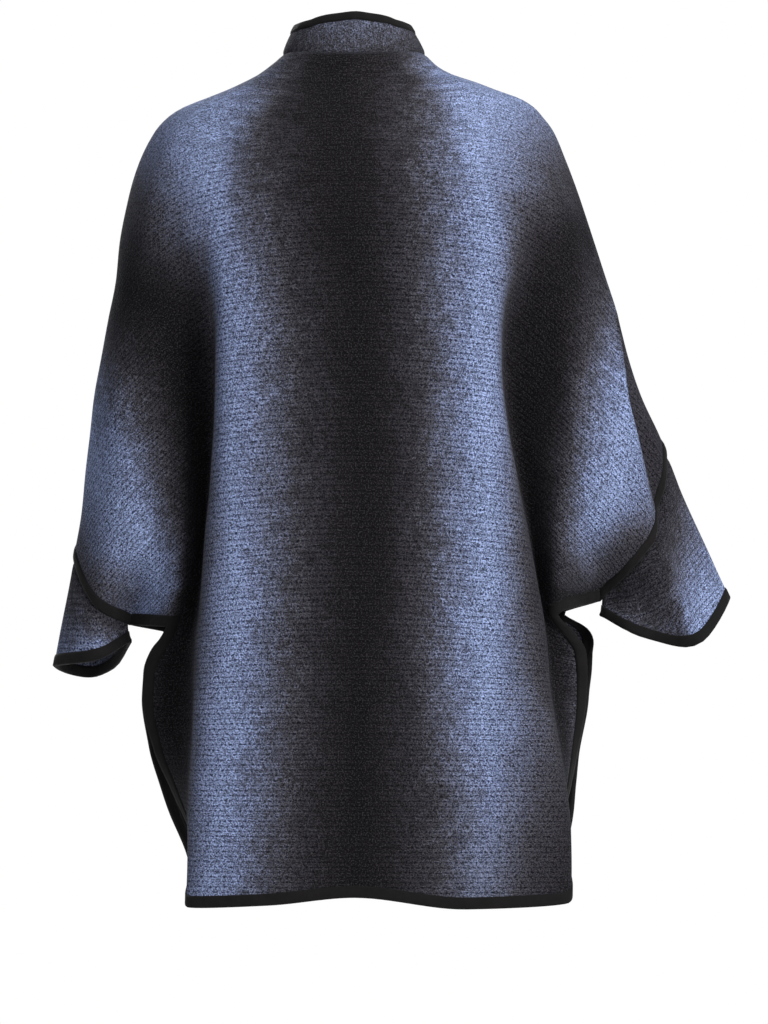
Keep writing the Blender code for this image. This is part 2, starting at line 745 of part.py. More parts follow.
def bind_collar(panel, collection):
    last = len(COLLAR_PLACES) + 1
    cells = {(0, column) for column in range(-last, last)}
    rows = len(COLLAR_SHARES) + 1
    cells |= {(row, column) for row in range(rows) for column in (-last, last - 1)}
    points = np.array(panel.points)
    faces = panel.faces_of(cells)
    panel_edges = directed_edges(panel.faces)
    base = panel.row(rows)
    free = {edge for edge in directed_edges(faces)
            if edge[::-1] not in panel_edges and not base.issuperset(edge)}
    add_tape("binding_collar", points, panel.normals(), faces, free, collection)


def bind_cuff(side, panel, collection):
    rows = len(CUFF_SHARES) + 1
    columns_used = sorted({key[1] for key in panel.index})[:-1]
    points = np.array(panel.points)
    faces = panel.faces_of((rows - 1, column) for column in columns_used)
    hem = panel.row(rows)
    free = {edge for edge in directed_edges(faces) if hem.issuperset(edge)}
    add_tape("cuff_binding_" + side, points, panel.normals(), faces, free, collection)


def bind_sleeve(side, back, front, collection):
    """The band over the sleeve-end seam; it stops a little above the cuff."""
    normals_of = {id(back): back.normals(), id(front): front.normals()}
    ring = sleeve_ring(side, back, front)
    band = sleeve_band(side, back, front)
    upper, lower = (np.array([normals_of[id(sheet)][sheet.index[row, column]]
                              for sheet, column, _ in ring]) for row in (SLIT_ROW - 1, SLIT_ROW))
    share = 1 - CUFF_GAP / BOUND
    points = np.array(band.points)
    points[len(ring):] = points[:len(ring)] + share * (points[len(ring):] - points[:len(ring)])
    normals = np.concatenate((upper, upper + share * (lower - upper)))
    add_tape("sleeve_band_" + side, points, normals, band.faces, set(), collection)


def main():
    for old in list(bpy.data.objects):
        bpy.data.objects.remove(old)
    collection = bpy.data.collections.new("stand_collar_sweater")
    bpy.context.scene.collection.children.link(collection)
    back = back_panel()
    add_cloth("back", back, collection)
    bind_back(back, collection)
    for side in ("left", "right"):
        front = front_panel(side)
        add_cloth("front_" + side, front, collection)
        bind_front(side, front, collection)
        cuff = cuff_panel(side, back, front)
        add_cloth("cuff_" + side, cuff, collection)
        bind_cuff(side, cuff, collection)
        bind_sleeve(side, back, front, collection)
    collar = collar_panel()
    add_cloth("collar", collar, collection)
    bind_collar(collar, collection)


main()
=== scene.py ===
"""Looks of the stand-collar knit cape sweater: knitted shells, bindings, ombre, light and camera.

The shape tables and functions repeat the solid's own, so each shell lies on its solid. The wearer's
left is +X, the front faces -Y and +Z is up; metres.
"""
import functools
import math

import bpy
import numpy as np
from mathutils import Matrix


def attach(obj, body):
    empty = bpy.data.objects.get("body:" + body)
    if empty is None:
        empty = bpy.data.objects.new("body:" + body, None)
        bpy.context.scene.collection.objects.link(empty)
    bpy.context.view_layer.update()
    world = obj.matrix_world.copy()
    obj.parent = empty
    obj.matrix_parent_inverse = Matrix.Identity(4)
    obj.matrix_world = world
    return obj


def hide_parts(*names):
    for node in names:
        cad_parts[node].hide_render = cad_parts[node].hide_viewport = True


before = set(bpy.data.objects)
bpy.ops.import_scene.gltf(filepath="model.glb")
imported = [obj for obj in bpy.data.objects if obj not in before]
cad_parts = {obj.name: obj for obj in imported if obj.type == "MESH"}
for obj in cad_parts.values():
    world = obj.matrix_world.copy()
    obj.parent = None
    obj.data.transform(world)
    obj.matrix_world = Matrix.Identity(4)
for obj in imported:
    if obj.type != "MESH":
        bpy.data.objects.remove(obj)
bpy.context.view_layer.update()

MM = 0.001

# Cloth and sewing
KNIT = 2.6 * MM              # thickness of the knit
TAPE = 1.0 * MM              # thickness of one face of the binding
SEAM = 0.3 * MM              # gap between pieces at a seam
BOUND = 10.5 * MM            # width of the binding on each face
BOUND_COLLAR = 7.5 * MM      # the same on the collar
NECK_EASE = 0.55 * MM        # how far collar and sheet stop short of the neck seam
SEAM_STRIP = 4 * MM          # width of the strip beside the shoulder seam
FOLD_STRIP = 6 * MM          # width of the strip on the sleeve's side of the inner fold
CUFF_GAP = 1.0 * MM          # the flared cuff starts this far below the sleeve end
UNDER_GAP = 2.5 * MM         # at the sleeve's under point it is this far from it each way
COLLAR_HEIGHT = (41, 28, 36)  # at the nape, the side and the centre front, millimetres
COLLAR_TOP = {"left": 64, "right": 57}       # half width of the collar's top edge
COLLAR_TOP_BACK, COLLAR_TOP_FRONT = 53, 61   # its depth behind and before
SLIT_TOP = {"left": (-592, -604), "right": (-580, -585)}    # its height on back and front

# The named lines round one half of the garment, and where each leaves the neck, as an angle that is
# 90 degrees at the centre back, 0 at the shoulder and -90 at the centre front. A place is a number
# of lines from the centre back, between two lines where it is not whole.
LINES = ("centre", "blade", "ridge", "valley", "side", "under", "sleeve", "outer",
         "shoulder_seam", "front_sleeve", "front_under", "front_side", "front_valley",
         "front_ridge", "bust", "opening")
ANGLES = (90, 75, 61, 53, 46, 37, 27, 0, -12, -27, -37, -46, -53, -61, -75, -89)
SIDE, UNDER, SHOULDER_SEAM = LINES.index("side"), LINES.index("under"), LINES.index("shoulder_seam")
FRONT_UNDER, FRONT_SIDE = LINES.index("front_under"), LINES.index("front_side")
ARM, OPENING = LINES.index("outer"), LINES.index("opening")
TURN = {"left": 1, "right": -1}               # which way x goes on each half
MIRROR = np.array((-1, 1, 1))
LOWEST = 880                                  # the tables' last height, below the hem
OPENING_X = (1.5 * SEAM + TAPE) / MM          # how far the fronts stop short of the centre

# Half width of the garment over shoulder and sleeve. All tables below are in millimetres.
OUTER = {
    # height: 0 is the neck seam
    "height": (0, -6, -14, -22, -30, -38, -46, -55, -64, -79, -107, -148, -189,
               -231, -273, -315, -357, -399, -441, -483, -525, -580, -620),
    "left": (76, 81, 91, 102, 117, 135, 157, 180, 195, 210, 225, 238, 246,
             251, 259, 267, 274, 279, 284, 289, 296, 303, 307),
    "right": (72, 77, 86, 101, 126, 149, 173, 187, 195, 206, 218, 234, 248,
              261, 274, 286, 300, 319, 336, 350, 362, 376, 385),
}
# The shoulders are a dome of rings: depth behind and before, how far the ring drops at the centre
# front, and how square it is (2 is an ellipse)
DOME_COLUMNS = ("height", "back", "front", "drop", "square")
DOME = (
    (0, 60, 68, 50, 2.0), (-17, 67, 76, 48, 1.8), (-34, 73, 84, 45, 1.65), (-51, 80, 92, 40, 1.6),
    (-76, 90, 102, 33, 1.75), (-105, 101, 113, 24, 1.95), (-147, 112, 126, 12, 2.15),
    (-189, 117, 133, 4, 2.3), (-231, 120, 136, 0, 2.4),
)
DROP_SHARE = (0, -0.01, -0.03, -0.05, -0.06, -0.08, -0.09, -0.1,
              -0.08, 0, 0.1, 0.22, 0.36, 0.55, 0.86, 1)
# Below the dome the cloth hangs: a soft fold runs down each side of the back, from ridge to valley
DOME_END, HANG_START = -150, -270
CENTRE_COLUMNS = ("height", "centre_y")
CENTRE = ((-200, 117), (-260, 120), (-400, 123), (-600, 128), (-880, 134))
BODY_COLUMNS = ("height", "ridge_x", "ridge_y", "valley_x", "valley_y", "side_x", "side_y")
BODY = {"left": (
    (-200, 129, 108, 153, 90, 176, 78), (-260, 134, 108, 152, 75, 177, 65),
    (-290, 135, 109, 149, 59, 177, 58), (-320, 135, 109, 148, 49, 177, 56),
    (-380, 136, 109, 149, 41, 177, 56), (-440, 140, 108, 153, 36, 176, 57),
    (-500, 145, 108, 158, 34, 177, 58), (-545, 148, 109, 162, 35, 184, 56),
    (-580, 150, 110, 166, 40, 190, 50), (-600, 152, 110, 170, 44, 197, 47),
    (-620, 154, 110, 172, 48, 209, 44), (-645, 156, 110, 172, 51, 218, 39),
    (-670, 157, 111, 171, 54, 219, 36), (-722, 159, 112, 172, 62, 208, 32),
    (-760, 161, 113, 172, 70, 191, 31), (-800, 164, 114, 171, 80, 172, 34),
    (-840, 166, 114, 169, 88, 156, 40), (-880, 168, 115, 168, 92, 148, 48),
), "right": (
    (-200, 148, 106, 169, 90, 188, 78), (-260, 143, 107, 160, 70, 194, 64),
    (-290, 141, 107, 156, 54, 197, 58), (-320, 142, 106, 155, 46, 200, 56),
    (-380, 147, 105, 161, 38, 206, 57), (-440, 157, 105, 171, 34, 209, 59),
    (-500, 169, 105, 182, 32, 210, 59), (-545, 178, 105, 189, 33, 208, 52),
    (-580, 184, 106, 194, 35, 208, 45), (-600, 187, 107, 197, 38, 224, 43),
    (-620, 189, 108, 200, 42, 237, 40), (-645, 191, 109, 202, 47, 239, 37),
    (-670, 194, 110, 205, 54, 238, 34), (-722, 203, 110, 211, 66, 229, 32),
    (-760, 210, 110, 216, 76, 221, 32), (-800, 215, 110, 219, 85, 210, 36),
    (-840, 216, 111, 219, 91, 198, 42), (-880, 216, 112, 218, 95, 188, 50),
)}
# The sleeve hangs from the arm; back and front meet at its under point
SLEEVE_COLUMNS = ("height", "under_x", "under_y", "sleeve_x", "sleeve_y", "outer_y")
SLEEVE = {"left": (
    (-200, 200, 60, 226, 44, 0), (-260, 204, 58, 232, 44, -2), (-320, 207, 58, 238, 46, -4),
    (-380, 208, 60, 244, 48, -6), (-440, 209, 60, 248, 48, -8), (-500, 214, 50, 256, 44, -10),
    (-554, 228, 23, 264, 38, -12), (-578, 235, 4, 268, 32, -13), (-590, 237, 3, 270, 29, -14),
    (-620, 240, 3, 276, 26, -16),
), "right": (
    (-200, 208, 62, 230, 46, 0), (-260, 216, 62, 246, 46, -2), (-320, 223, 64, 258, 46, -6),
    (-380, 230, 64, 272, 44, -10), (-440, 236, 60, 284, 42, -16), (-500, 243, 46, 294, 38, -22),
    (-536, 250, 20, 299, 31, -25), (-555, 255, 4, 302, 28, -27), (-567, 256, 3, 303, 26, -28),
    (-620, 262, 3, 310, 22, -30),
)}
# The fronts hang like the back
FRONT_COLUMNS = ("height", "opening_y", "bust_y", "ridge_y", "valley_y", "side_y")
FRONT = (
    (-200, -126, -131, -108, -85, -74), (-260, -132, -136, -112, -71, -64),
    (-320, -130, -134, -112, -50, -59), (-380, -128, -132, -112, -40, -57),
    (-440, -126, -131, -112, -34, -56), (-500, -125, -130, -113, -32, -53),
    (-545, -125, -130, -113, -31, -48), (-580, -125, -130, -114, -31, -40),
    (-600, -125, -130, -114, -32, -35), (-620, -125, -130, -114, -34, -30),
    (-652, -125, -130, -114, -36, -26), (-716, -125, -130, -114, -46, -22),
    (-758, -125, -130, -114, -56, -20), (-800, -125, -130, -114, -66, -22),
    (-880, -125, -130, -114, -76, -30),
)
# How far the fronts' side edge stands outside the back's
LEAD_COLUMNS = ("height", "lead")
LEAD = {
    "left": ((-200, 0), (-580, 0), (-604, 2), (-625, 6), (-652, 5), (-685, 6), (-722, 9),
             (-760, 15), (-800, 20), (-840, 20), (-880, 16)),
    "right": ((-200, 0), (-545, 0), (-585, 10), (-602, 20), (-622, 11), (-645, 8), (-670, 6),
              (-722, 6), (-760, 9), (-800, 16), (-840, 20), (-880, 24)),
}
# Where each line ends: at the hem, or from the side to the front side at the sleeve end
ENDS = {
    "left": (-863, -871, -875, -860, -834, -592, -574, -524,
             -512, -547, -592, -842, -862, -872, -872, -869),
    "right": (-863, -875, -871, -854, -828, -567, -520, -413,
              -402, -490, -567, -840, -860, -870, -871, -869),
}
# The cuff's hem: the place that it hangs from, x, y and z
CUFF = {"left": (
    (5, 237, 3, -609), (6, 271, 38, -628), (7, 316, -4, -636), (8, 309, -35, -644),
    (9, 283, -58, -650), (9.5, 259, -42, -640), (10, 238, -3, -611),
), "right": (
    (5, 257, 3, -582), (5.6, 294, 32, -602), (6.3, 347, 34, -614), (7, 395, -10, -563),
    (8, 380, -45, -582), (9, 320, -62, -606), (10, 258, -3, -583),
)}
# How many faces lie between one line and the next
STEPS = (3, 3, 3, 3, 3, 2, 3, 2, 3, 2, 3, 3, 3, 3, 3)
UPPER_SPAN = 580             # the rows above the slit top are stated for this length
UPPER_ROWS = (0, 9, 19, 30, 42, 56, 76, 104, 140, 182, 230, 282, 336, 392, 448, 500, 540)
LOWER_SHARES = (0.09, 0.2, 0.36, 0.54, 0.72, 0.86)


def hermite(t, start, start_slope, end, end_slope):
    return ((2 * t**3 - 3 * t**2 + 1) * start + (t**3 - 2 * t**2 + t) * start_slope
            + (3 * t**2 - 2 * t**3) * end + (t**3 - t**2) * end_slope)


def monotone(rows, values, at):
    """Smooth curve through (rows, values) that never overshoots; rows fall, at is any height."""
    x = -np.asarray(rows, float)
    y = np.asarray(values, float)
    at = np.clip(-np.asarray(at, float), x[0], x[-1])
    step = np.diff(x)
    rise = np.diff(y) / step
    slope = np.concatenate(([rise[0]], np.zeros(len(x) - 2), [rise[-1]]))
    same_way = rise[:-1] * rise[1:] > 0
    before, after = rise[:-1][same_way], rise[1:][same_way]
    slope[1:-1][same_way] = 2 * before * after / (before + after)
    k = np.clip(np.searchsorted(x, at) - 1, 0, len(x) - 2)
    t = (at - x[k]) / step[k]
    return hermite(t, y[k], step[k] * slope[k], y[k + 1], step[k] * slope[k + 1])


def columns(table, names, at):
    """Every named column of a table at the heights in at."""
    rows = list(zip(*table))
    return {name: monotone(rows[0], values, at) for name, values in zip(names, rows)}


def smoothstep(start, end, at):
    t = np.clip((at - start) / (end - start), 0, 1)
    return t * t * (3 - 2 * t)


def dome_ring(half_width, dome):
    """Points of the 16 lines on a ring of the shoulder dome."""
    ring = []
    for angle in np.radians(ANGLES):
        depth = dome["back"] if angle > 0 else dome["front"]
        power = 2 / dome["square"]
        x = half_width * abs(math.cos(angle)) ** power
        y = np.sign(angle) * depth * abs(math.sin(angle)) ** power
        ring.append((x, y))
    return np.array(ring)


def hanging_ring(side, half_width, at):
    """Points of the 16 lines on a level section of the hanging cloth."""
    centre = columns(CENTRE, CENTRE_COLUMNS, at)["centre_y"]
    body = columns(BODY[side], BODY_COLUMNS, at)
    sleeve = columns(SLEEVE[side], SLEEVE_COLUMNS, at)
    front = columns(FRONT, FRONT_COLUMNS, at)
    lead = columns(LEAD[side], LEAD_COLUMNS, at)["lead"]
    ring = (
        (0 * at, centre),
        (0.52 * body["ridge_x"], 0.8 * centre + 0.2 * body["ridge_y"] + 1),
        (body["ridge_x"], body["ridge_y"]),
        (body["valley_x"], body["valley_y"]),
        (body["side_x"], body["side_y"]),
        (sleeve["under_x"], sleeve["under_y"]),
        (sleeve["sleeve_x"], sleeve["sleeve_y"]),
        (half_width, sleeve["outer_y"]),
        (half_width - 4, sleeve["outer_y"] - 22),
        (sleeve["sleeve_x"], 2 * sleeve["outer_y"] - sleeve["sleeve_y"]),
        (sleeve["under_x"], -sleeve["under_y"]),
        (body["side_x"] + lead, front["side_y"]),
        (body["valley_x"], front["valley_y"]),
        (body["ridge_x"], front["ridge_y"]),
        (0.52 * body["ridge_x"], front["bust_y"]),
        (0 * at + OPENING_X, front["opening_y"]),
    )
    return np.array(ring)


def lines_at(side, heights):
    """The 16 line points (metres) on each of the heights (millimetres): array height, line, xyz."""
    half_width = monotone(OUTER["height"], OUTER[side], heights)
    dome = columns(DOME, DOME_COLUMNS, heights)
    hang = smoothstep(DOME_END, HANG_START, heights)
    ring = (1 - hang) * dome_ring(half_width, dome) + hang * hanging_ring(side, half_width, heights)
    ring[OPENING, 0] = OPENING_X
    z = heights - np.outer(DROP_SHARE, dome["drop"])
    return np.stack((TURN[side] * ring[:, 0], ring[:, 1], z), axis=-1).transpose(1, 0, 2) * MM


LINE_POINTS = {side: lines_at(side, np.linspace(0, -LOWEST, LOWEST + 1)) for side in TURN}


def through(points, place):
    """Centripetal spline through points (row, n, 3) at one place for each row, 0 to n - 1."""
    k = np.clip(np.floor(place).astype(int), 0, points.shape[-2] - 4)
    row = np.arange(len(place))
    p0, p1, p2, p3 = (points[row, k + i] for i in range(4))
    t = (place - k)[:, None]

    def root(a, b):
        return np.sqrt(np.linalg.norm(b - a, axis=-1, keepdims=True)) + 1e-9

    d0, d1, d2 = root(p0, p1), root(p1, p2), root(p2, p3)
    m1 = ((p1 - p0) / d0 - (p2 - p0) / (d0 + d1) + (p2 - p1) / d1) * d1
    m2 = ((p2 - p1) / d1 - (p3 - p1) / (d1 + d2) + (p3 - p2) / d2) * d1
    return hermite(t, p1, m1, p2, m2)


def past_ends(points):
    """Points of the lines (..., line, xyz), with the other half's next line added at both ends."""
    first, last = points[..., 1:2, :] * MIRROR, points[..., -2:-1, :] * MIRROR
    return np.concatenate((first, points, last), axis=-2)


def surface(side, place, height):
    """Points of the garment's middle surface, at places and heights in millimetres."""
    place, height = np.broadcast_arrays(np.asarray(place, float), np.asarray(height, float))
    shape = place.shape
    place, height = place.ravel(), np.clip(height.ravel(), 0.001 - LOWEST, 0)
    low = np.floor(-height).astype(int)
    part = (-height - low)[:, None, None]
    lines = LINE_POINTS[side]
    rings = lines[low] * (1 - part) + lines[low + 1] * part
    return through(past_ends(rings), place).reshape(shape + (3,))


def end_height(side, place, first, last):
    """Height at which the cloth ends, for places between two of the lines."""
    knots, ends = list(range(first, last + 1)), ENDS[side][first:last + 1]
    if first == 0:           # level where the two halves meet
        knots, ends = [-1] + knots, ends[1:2] + ends
    return monotone(-np.array(knots), ends, -np.asarray(place, float))


def margin_height(side, place, end, width):
    """Height that lies width above the end of a column."""
    pair = surface(side, [place, place], [end, end + 1])
    return end + width / np.linalg.norm(pair[1] - pair[0])


def column_heights(side, place):
    """Heights of one column's rows: to the sleeve end, or past the slit top to the hem."""
    back_top, front_top = SLIT_TOP[side]
    if place <= SIDE:
        centre_top = (SLIT_TOP["left"][0] + SLIT_TOP["right"][0]) / 2
        upper_end = centre_top + place / SIDE * (back_top - centre_top)
        hem = float(end_height(side, place, 0, SIDE))
    elif place >= FRONT_SIDE:
        upper_end, hem = front_top, float(end_height(side, place, FRONT_SIDE, OPENING))
    elif place < UNDER:
        upper_end = back_top + (place - SIDE) * (ENDS[side][UNDER] - back_top)
    elif place > FRONT_UNDER:
        upper_end = front_top + (FRONT_SIDE - place) * (ENDS[side][FRONT_UNDER] - front_top)
    else:
        upper_end = float(end_height(side, place, UNDER, FRONT_UNDER))
    heights = [upper_end * row / UPPER_SPAN for row in UPPER_ROWS]
    heights[0] = -NECK_EASE / MM
    heights += [margin_height(side, place, upper_end, BOUND), upper_end]
    if place <= SIDE or place >= FRONT_SIDE:
        margin = margin_height(side, place, hem, BOUND)
        heights += [upper_end + share * (margin - upper_end) for share in LOWER_SHARES]
        heights += [margin, hem]
    return heights


# Lines that are a sheet's edge: the way into the sheet, and the width of its first strip of faces
BACK_EDGES = ((SIDE, -1, BOUND), (SIDE, 1, FOLD_STRIP), (SHOULDER_SEAM, -1, SEAM_STRIP))
FRONT_EDGES = ((SHOULDER_SEAM, 1, SEAM_STRIP), (FRONT_SIDE, 1, BOUND),
               (FRONT_SIDE, -1, FOLD_STRIP), (OPENING, -1, BOUND))


def collar_top(side):
    """Points of the 16 lines on the collar's top edge."""
    base = LINE_POINTS[side][0]
    angles = np.radians(ANGLES)
    depth = np.where(angles > 0, COLLAR_TOP_BACK, COLLAR_TOP_FRONT)
    height = monotone((0, -ARM, -OPENING), COLLAR_HEIGHT, -np.arange(len(LINES)))
    x = TURN[side] * COLLAR_TOP[side] * np.cos(angles) * MM
    x[OPENING] = base[OPENING, 0]
    return np.stack((x, depth * np.sin(angles) * MM, base[:, 2] + height * MM), axis=-1)


# ---------------------------------------------------------------- the scene's own values
FINE = 4                        # fine columns in each of the solid's columns
# Fine rows in each of the solid's rows, down to the wing's bottom and from there to the hem
UPPER_FINE = (2, 2, 2, 3, 3, 4, 6, 8, 9, 12, 12, 12, 12, 12, 12, 9, 7, 4)
LOWER_FINE = (6, 7, 10, 11, 11, 9, 9, 4)
SLIT_FINE = sum(UPPER_FINE)
HEM_FINE = SLIT_FINE + sum(LOWER_FINE)
STITCH, COURSE = 5.3 * MM, 5.1 * MM       # size of a stitch: along and across the row

# How far the rows of the knit tilt down towards the sleeve on lines 1 to 7, in degrees, by height
TILT = (
    (0, 0, 0, 2, 3, 4, 6, 8), (-50, 1, 2, 5, 8, 12, 18, 25), (-110, 3, 8, 15, 20, 25, 32, 40),
    (-200, 5, 13, 21, 29, 36, 42, 46), (-260, 4, 10, 32, 42, 44, 45, 46),
    (-320, 4, 8, 36, 44, 45, 45, 45), (-440, 3, 7, 34, 44, 44, 43, 42),
    (-540, 2, 5, 30, 46, 48, 44, 42), (-600, 1, 3, 8, 10, 48, 46, 44),
    (-660, 0, 1, 3, 6, 48, 46, 44), (-880, 0, 0, 0, 2, 48, 46, 44),
)
# The ombre of the yarn, with painted shade in part: whole numbers are dark, halves are blue. After
# the height comes how far from the centre it is a half, in millimetres, its values on lines 3 to 8,
# and how blue it gets near the centre. That last value falls low on the right as painted shade,
# where the back lies in shade. On the left the side line stays near dark below the slit as painted
# shade, for that shadowed side panel.
OMBRE_AND_SHADE = {"left": (
    (0, 205, .12, .15, .19, .24, .28, .32, 1), (-32, 200, .21, .26, .31, .35, .39, .43, 1),
    (-63, 195, .35, .43, .49, .53, .58, .62, 1), (-104, 186, .42, .48, .55, .60, .65, .68, .97),
    (-155, 165, .55, .60, .69, .74, .80, .85, .94), (-206, 142, .66, .73, .77, .85, .91, .97, .92),
    (-257, 131, .75, .90, .99, 1.03, 1.14, 1.24, .92),
    (-309, 127, .80, .97, 1.09, 1.19, 1.33, 1.43, .92),
    (-360, 128, .84, 1.03, 1.20, 1.32, 1.42, 1.50, .92),
    (-412, 127, .88, 1.10, 1.27, 1.43, 1.51, 1.57, .92),
    (-463, 123, .92, 1.15, 1.36, 1.50, 1.60, 1.67, .92),
    (-514, 124, .96, 1.24, 1.49, 1.61, 1.74, 1.80, .93),
    (-555, 126, .98, 1.36, 1.66, 1.75, 1.84, 1.90, .94),
    (-620, 128, .95, 1.12, 1.66, 1.75, 1.84, 1.90, .95),
    (-680, 129, .90, 1.15, 1.7, 1.9, 2, 2, .96), (-760, 132, .86, 1.20, 1.7, 1.9, 2, 2, .94),
    (-840, 139, .74, 1.10, 1.7, 1.9, 2, 2, .90), (-880, 144, .66, 1.00, 1.7, 1.9, 2, 2, .88),
), "right": (
    (0, 176, .17, .21, .26, .30, .34, .38, 1), (-32, 166, .33, .38, .43, .47, .51, .54, 1),
    (-63, 154, .44, .51, .55, .58, .61, .64, 1), (-104, 145, .53, .58, .65, .70, .75, .79, 1),
    (-155, 137, .62, .70, .75, .80, .86, .92, .98),
    (-206, 131, .74, .89, .97, 1.08, 1.15, 1.22, .96),
    (-257, 131, .83, .97, 1.04, 1.20, 1.30, 1.38, .95),
    (-309, 133, .88, 1.00, 1.12, 1.33, 1.45, 1.52, .97),
    (-360, 133, .91, 1.05, 1.25, 1.45, 1.58, 1.64, 1),
    (-412, 133, .94, 1.15, 1.33, 1.52, 1.66, 1.74, 1),
    (-463, 133.5, .97, 1.20, 1.40, 1.58, 1.75, 1.82, 1),
    (-514, 134, 1.00, 1.26, 1.50, 1.66, 1.80, 1.88, 1),
    (-555, 134, 1.00, 1.32, 1.60, 1.75, 1.86, 1.92, 1),
    (-620, 134, .98, 1.34, 1.62, 1.78, 1.9, 2, 1), (-680, 134, .96, 1.36, 1.7, 1.9, 2, 2, .97),
    (-760, 139, .88, 1.34, 1.7, 1.9, 2, 2, .83), (-840, 128, .80, 1.20, 1.7, 1.9, 2, 2, .74),
    (-880, 121, .78, 1.10, 1.7, 1.9, 2, 2, .71),
)}
# The ombre's darkest line (x in millimetres), and how much faster the ombre goes past its bluest
OMBRE_CENTRE = (
    (0, 20, 0), (-70, 20, 0), (-155, 10, 0), (-257, 0, 0.5), (-360, -10, 0.7), (-480, -13, 0.7),
    (-580, -8, 0.6), (-640, -5, 0.3), (-700, -2, 0), (-880, 0, 0),
)
# Folds: the places and heights that they run through, how proud they stand (below 0 is a trough)
# and their half width in millimetres, and how round they are (2 is soft, 1 is sharp). The last five
# of each side are the front's.
FOLDS = {"left": (
    (((4.5, -560), (5.0, -520), (5.6, -470)), 4, 16, 2),
    (((5.6, -330), (5.2, -430), (4.7, -520)), -3, 20, 2),
    (((6.3, -250), (6.2, -360), (6.3, -460)), 3, 20, 2),
    (((4.6, -170), (3.8, -230), (3.2, -300)), -5, 16, 2),
    (((0.9, -560), (1.05, -700), (1.1, -860)), 3, 26, 2),
    (((0.1, -600), (0.1, -860)), -2.5, 26, 2),
    (((13.6, -190), (13.8, -420), (13.9, -640), (14, -860)), 5, 22, 2),
    (((12.9, -240), (13.1, -480), (13.2, -860)), -5, 20, 2),
    (((14.5, -330), (14.5, -600), (14.45, -860)), -4, 22, 2),
    (((9.2, -230), (9.3, -360), (9.6, -480)), 5, 14, 1.5),
    (((10.6, -170), (11.3, -230), (11.9, -300)), -5, 16, 2),
), "right": (
    (((6.5, -185), (6.5, -237), (6.58, -268), (6.42, -309), (6.2, -360), (6.2, -400), (6.16, -442),
     (6.16, -520), (6.16, -600)), 9, 9, 1.1),
    (((6.8, -285), (6.66, -330), (6.5, -370), (6.46, -420), (6.42, -470), (6.42, -540)), -11, 9,
     1.8),
    (((5.9, -260), (5.8, -360), (5.75, -470)), -2.5, 16, 2),
    (((4.3, -528), (4.75, -540), (5.1, -525)), 7, 10, 1.6),
    (((4.25, -548), (4.7, -560)), -4, 7, 2),
    (((4.4, -160), (3.7, -215), (3.2, -280)), -6, 16, 2),
    (((0.7, -560), (0.8, -700), (0.85, -860)), 3, 26, 2),
    (((1.5, -640), (1.45, -760), (1.4, -870)), -3, 24, 2),
    (((13.5, -190), (13.6, -420), (13.8, -640), (13.9, -860)), 5, 22, 2),
    (((12.9, -260), (13.0, -480), (13.1, -860)), -5, 20, 2),
    (((14.4, -360), (14.5, -600), (14.5, -860)), -4, 22, 2),
    (((9.1, -230), (9.2, -360), (9.5, -470)), 5, 14, 1.5),
    (((10.6, -160), (11.3, -215), (11.9, -290)), -5, 16, 2),
)}
# Painted shade: where the cloth is painted darker for the shade on the sleeve beyond the right
# sleeve's ridge fold and under the wings' bottoms by the valleys; along a line like the folds', by
# how much, half width and roundness
PAINTED_SHADE_LINES = {"left": (
    (((3.3, -540), (3.5, -560), (3.5, -580)), 0.75, 11, 2),
), "right": (
    (((6.95, -285), (6.85, -330), (6.72, -370), (6.68, -420), (6.66, -470), (6.66, -560)), 0.55, 27,
     8),
    (((3.4, -550), (4.2, -550), (5.0, -535), (5.8, -515)), 0.42, 36, 2),
    (((2.8, -548), (3.6, -562), (4.5, -566), (4.9, -562)), 0.8, 13, 2),
)}


# ---------------------------------------------------------------- fine sheets
def spread(knots, counts):
    """The knots, with the gap after each cut into its count of equal steps."""
    found = [knots[0]]
    for start, end, count in zip(knots, knots[1:], counts):
        found += [start + (k + 1) / count * (end - start) for k in range(count)]
    return np.array(found)


def unit(ways):
    return ways / np.linalg.norm(ways, axis=-1, keepdims=True)


def margins(side, edge, inward, width, heights, tries):
    """The places that lie width inside the edge line at the heights, measured over the cloth."""
    tried = edge + inward * np.linspace(0, 1, tries)
    points = surface(side, tried[None, :], np.array(heights)[:, None])
    runs = np.cumsum(np.linalg.norm(np.diff(points, axis=1), axis=2), axis=1)
    return [np.interp(min(width, 0.4 * run[-1]), np.append(0, run), tried) for run in runs]


MARGIN_HEIGHTS = np.linspace(1 - LOWEST, -1, 150)


@functools.cache
def margin_table(side, edge, inward, width):
    return margins(side, edge, inward, width, MARGIN_HEIGHTS, 161)


def margin(side, edge, inward, width, height):
    return np.interp(height, MARGIN_HEIGHTS, margin_table(side, edge, inward, width))


def moved_fine(place, side, height, edges):
    """Places of one fine column at its heights: beside an edge the first strip is its margin."""
    for edge, inward, width in edges:
        away = (place - edge) * inward
        if not 0 <= away < 1 or (away == 0 and edge != SHOULDER_SEAM):
            continue
        start = edge + 0 * height
        if edge == SHOULDER_SEAM:
            start = margin(side, edge, inward, SEAM / 2, height)
        steps = STEPS[min(edge, edge + inward)]
        inner = margin(side, edge, inward, width, height)
        far = away * steps
        if far <= 1:
            return start + far * (inner - start)
        return inner + (far - 1) / (steps - 1) * (edge + inward - inner)
    return place + 0 * height


PATH_STEPS = 40             # points that stand for the line of a fold


def beside(side, place, height, knots, half_width, power):
    """How near each point is to a line over the cloth (1 on it), and how far along it that is."""
    near = surface(side, place, height)
    share = np.linspace(0, 1, PATH_STEPS)
    at = np.linspace(0, 1, len(knots))
    path = surface(side, *(np.interp(share, at, values) for values in zip(*knots)))
    gap = np.linalg.norm(near[:, None] - path[None], axis=2)
    return np.exp(-(gap.min(1) / (half_width * MM)) ** power), share[gap.argmin(1)]


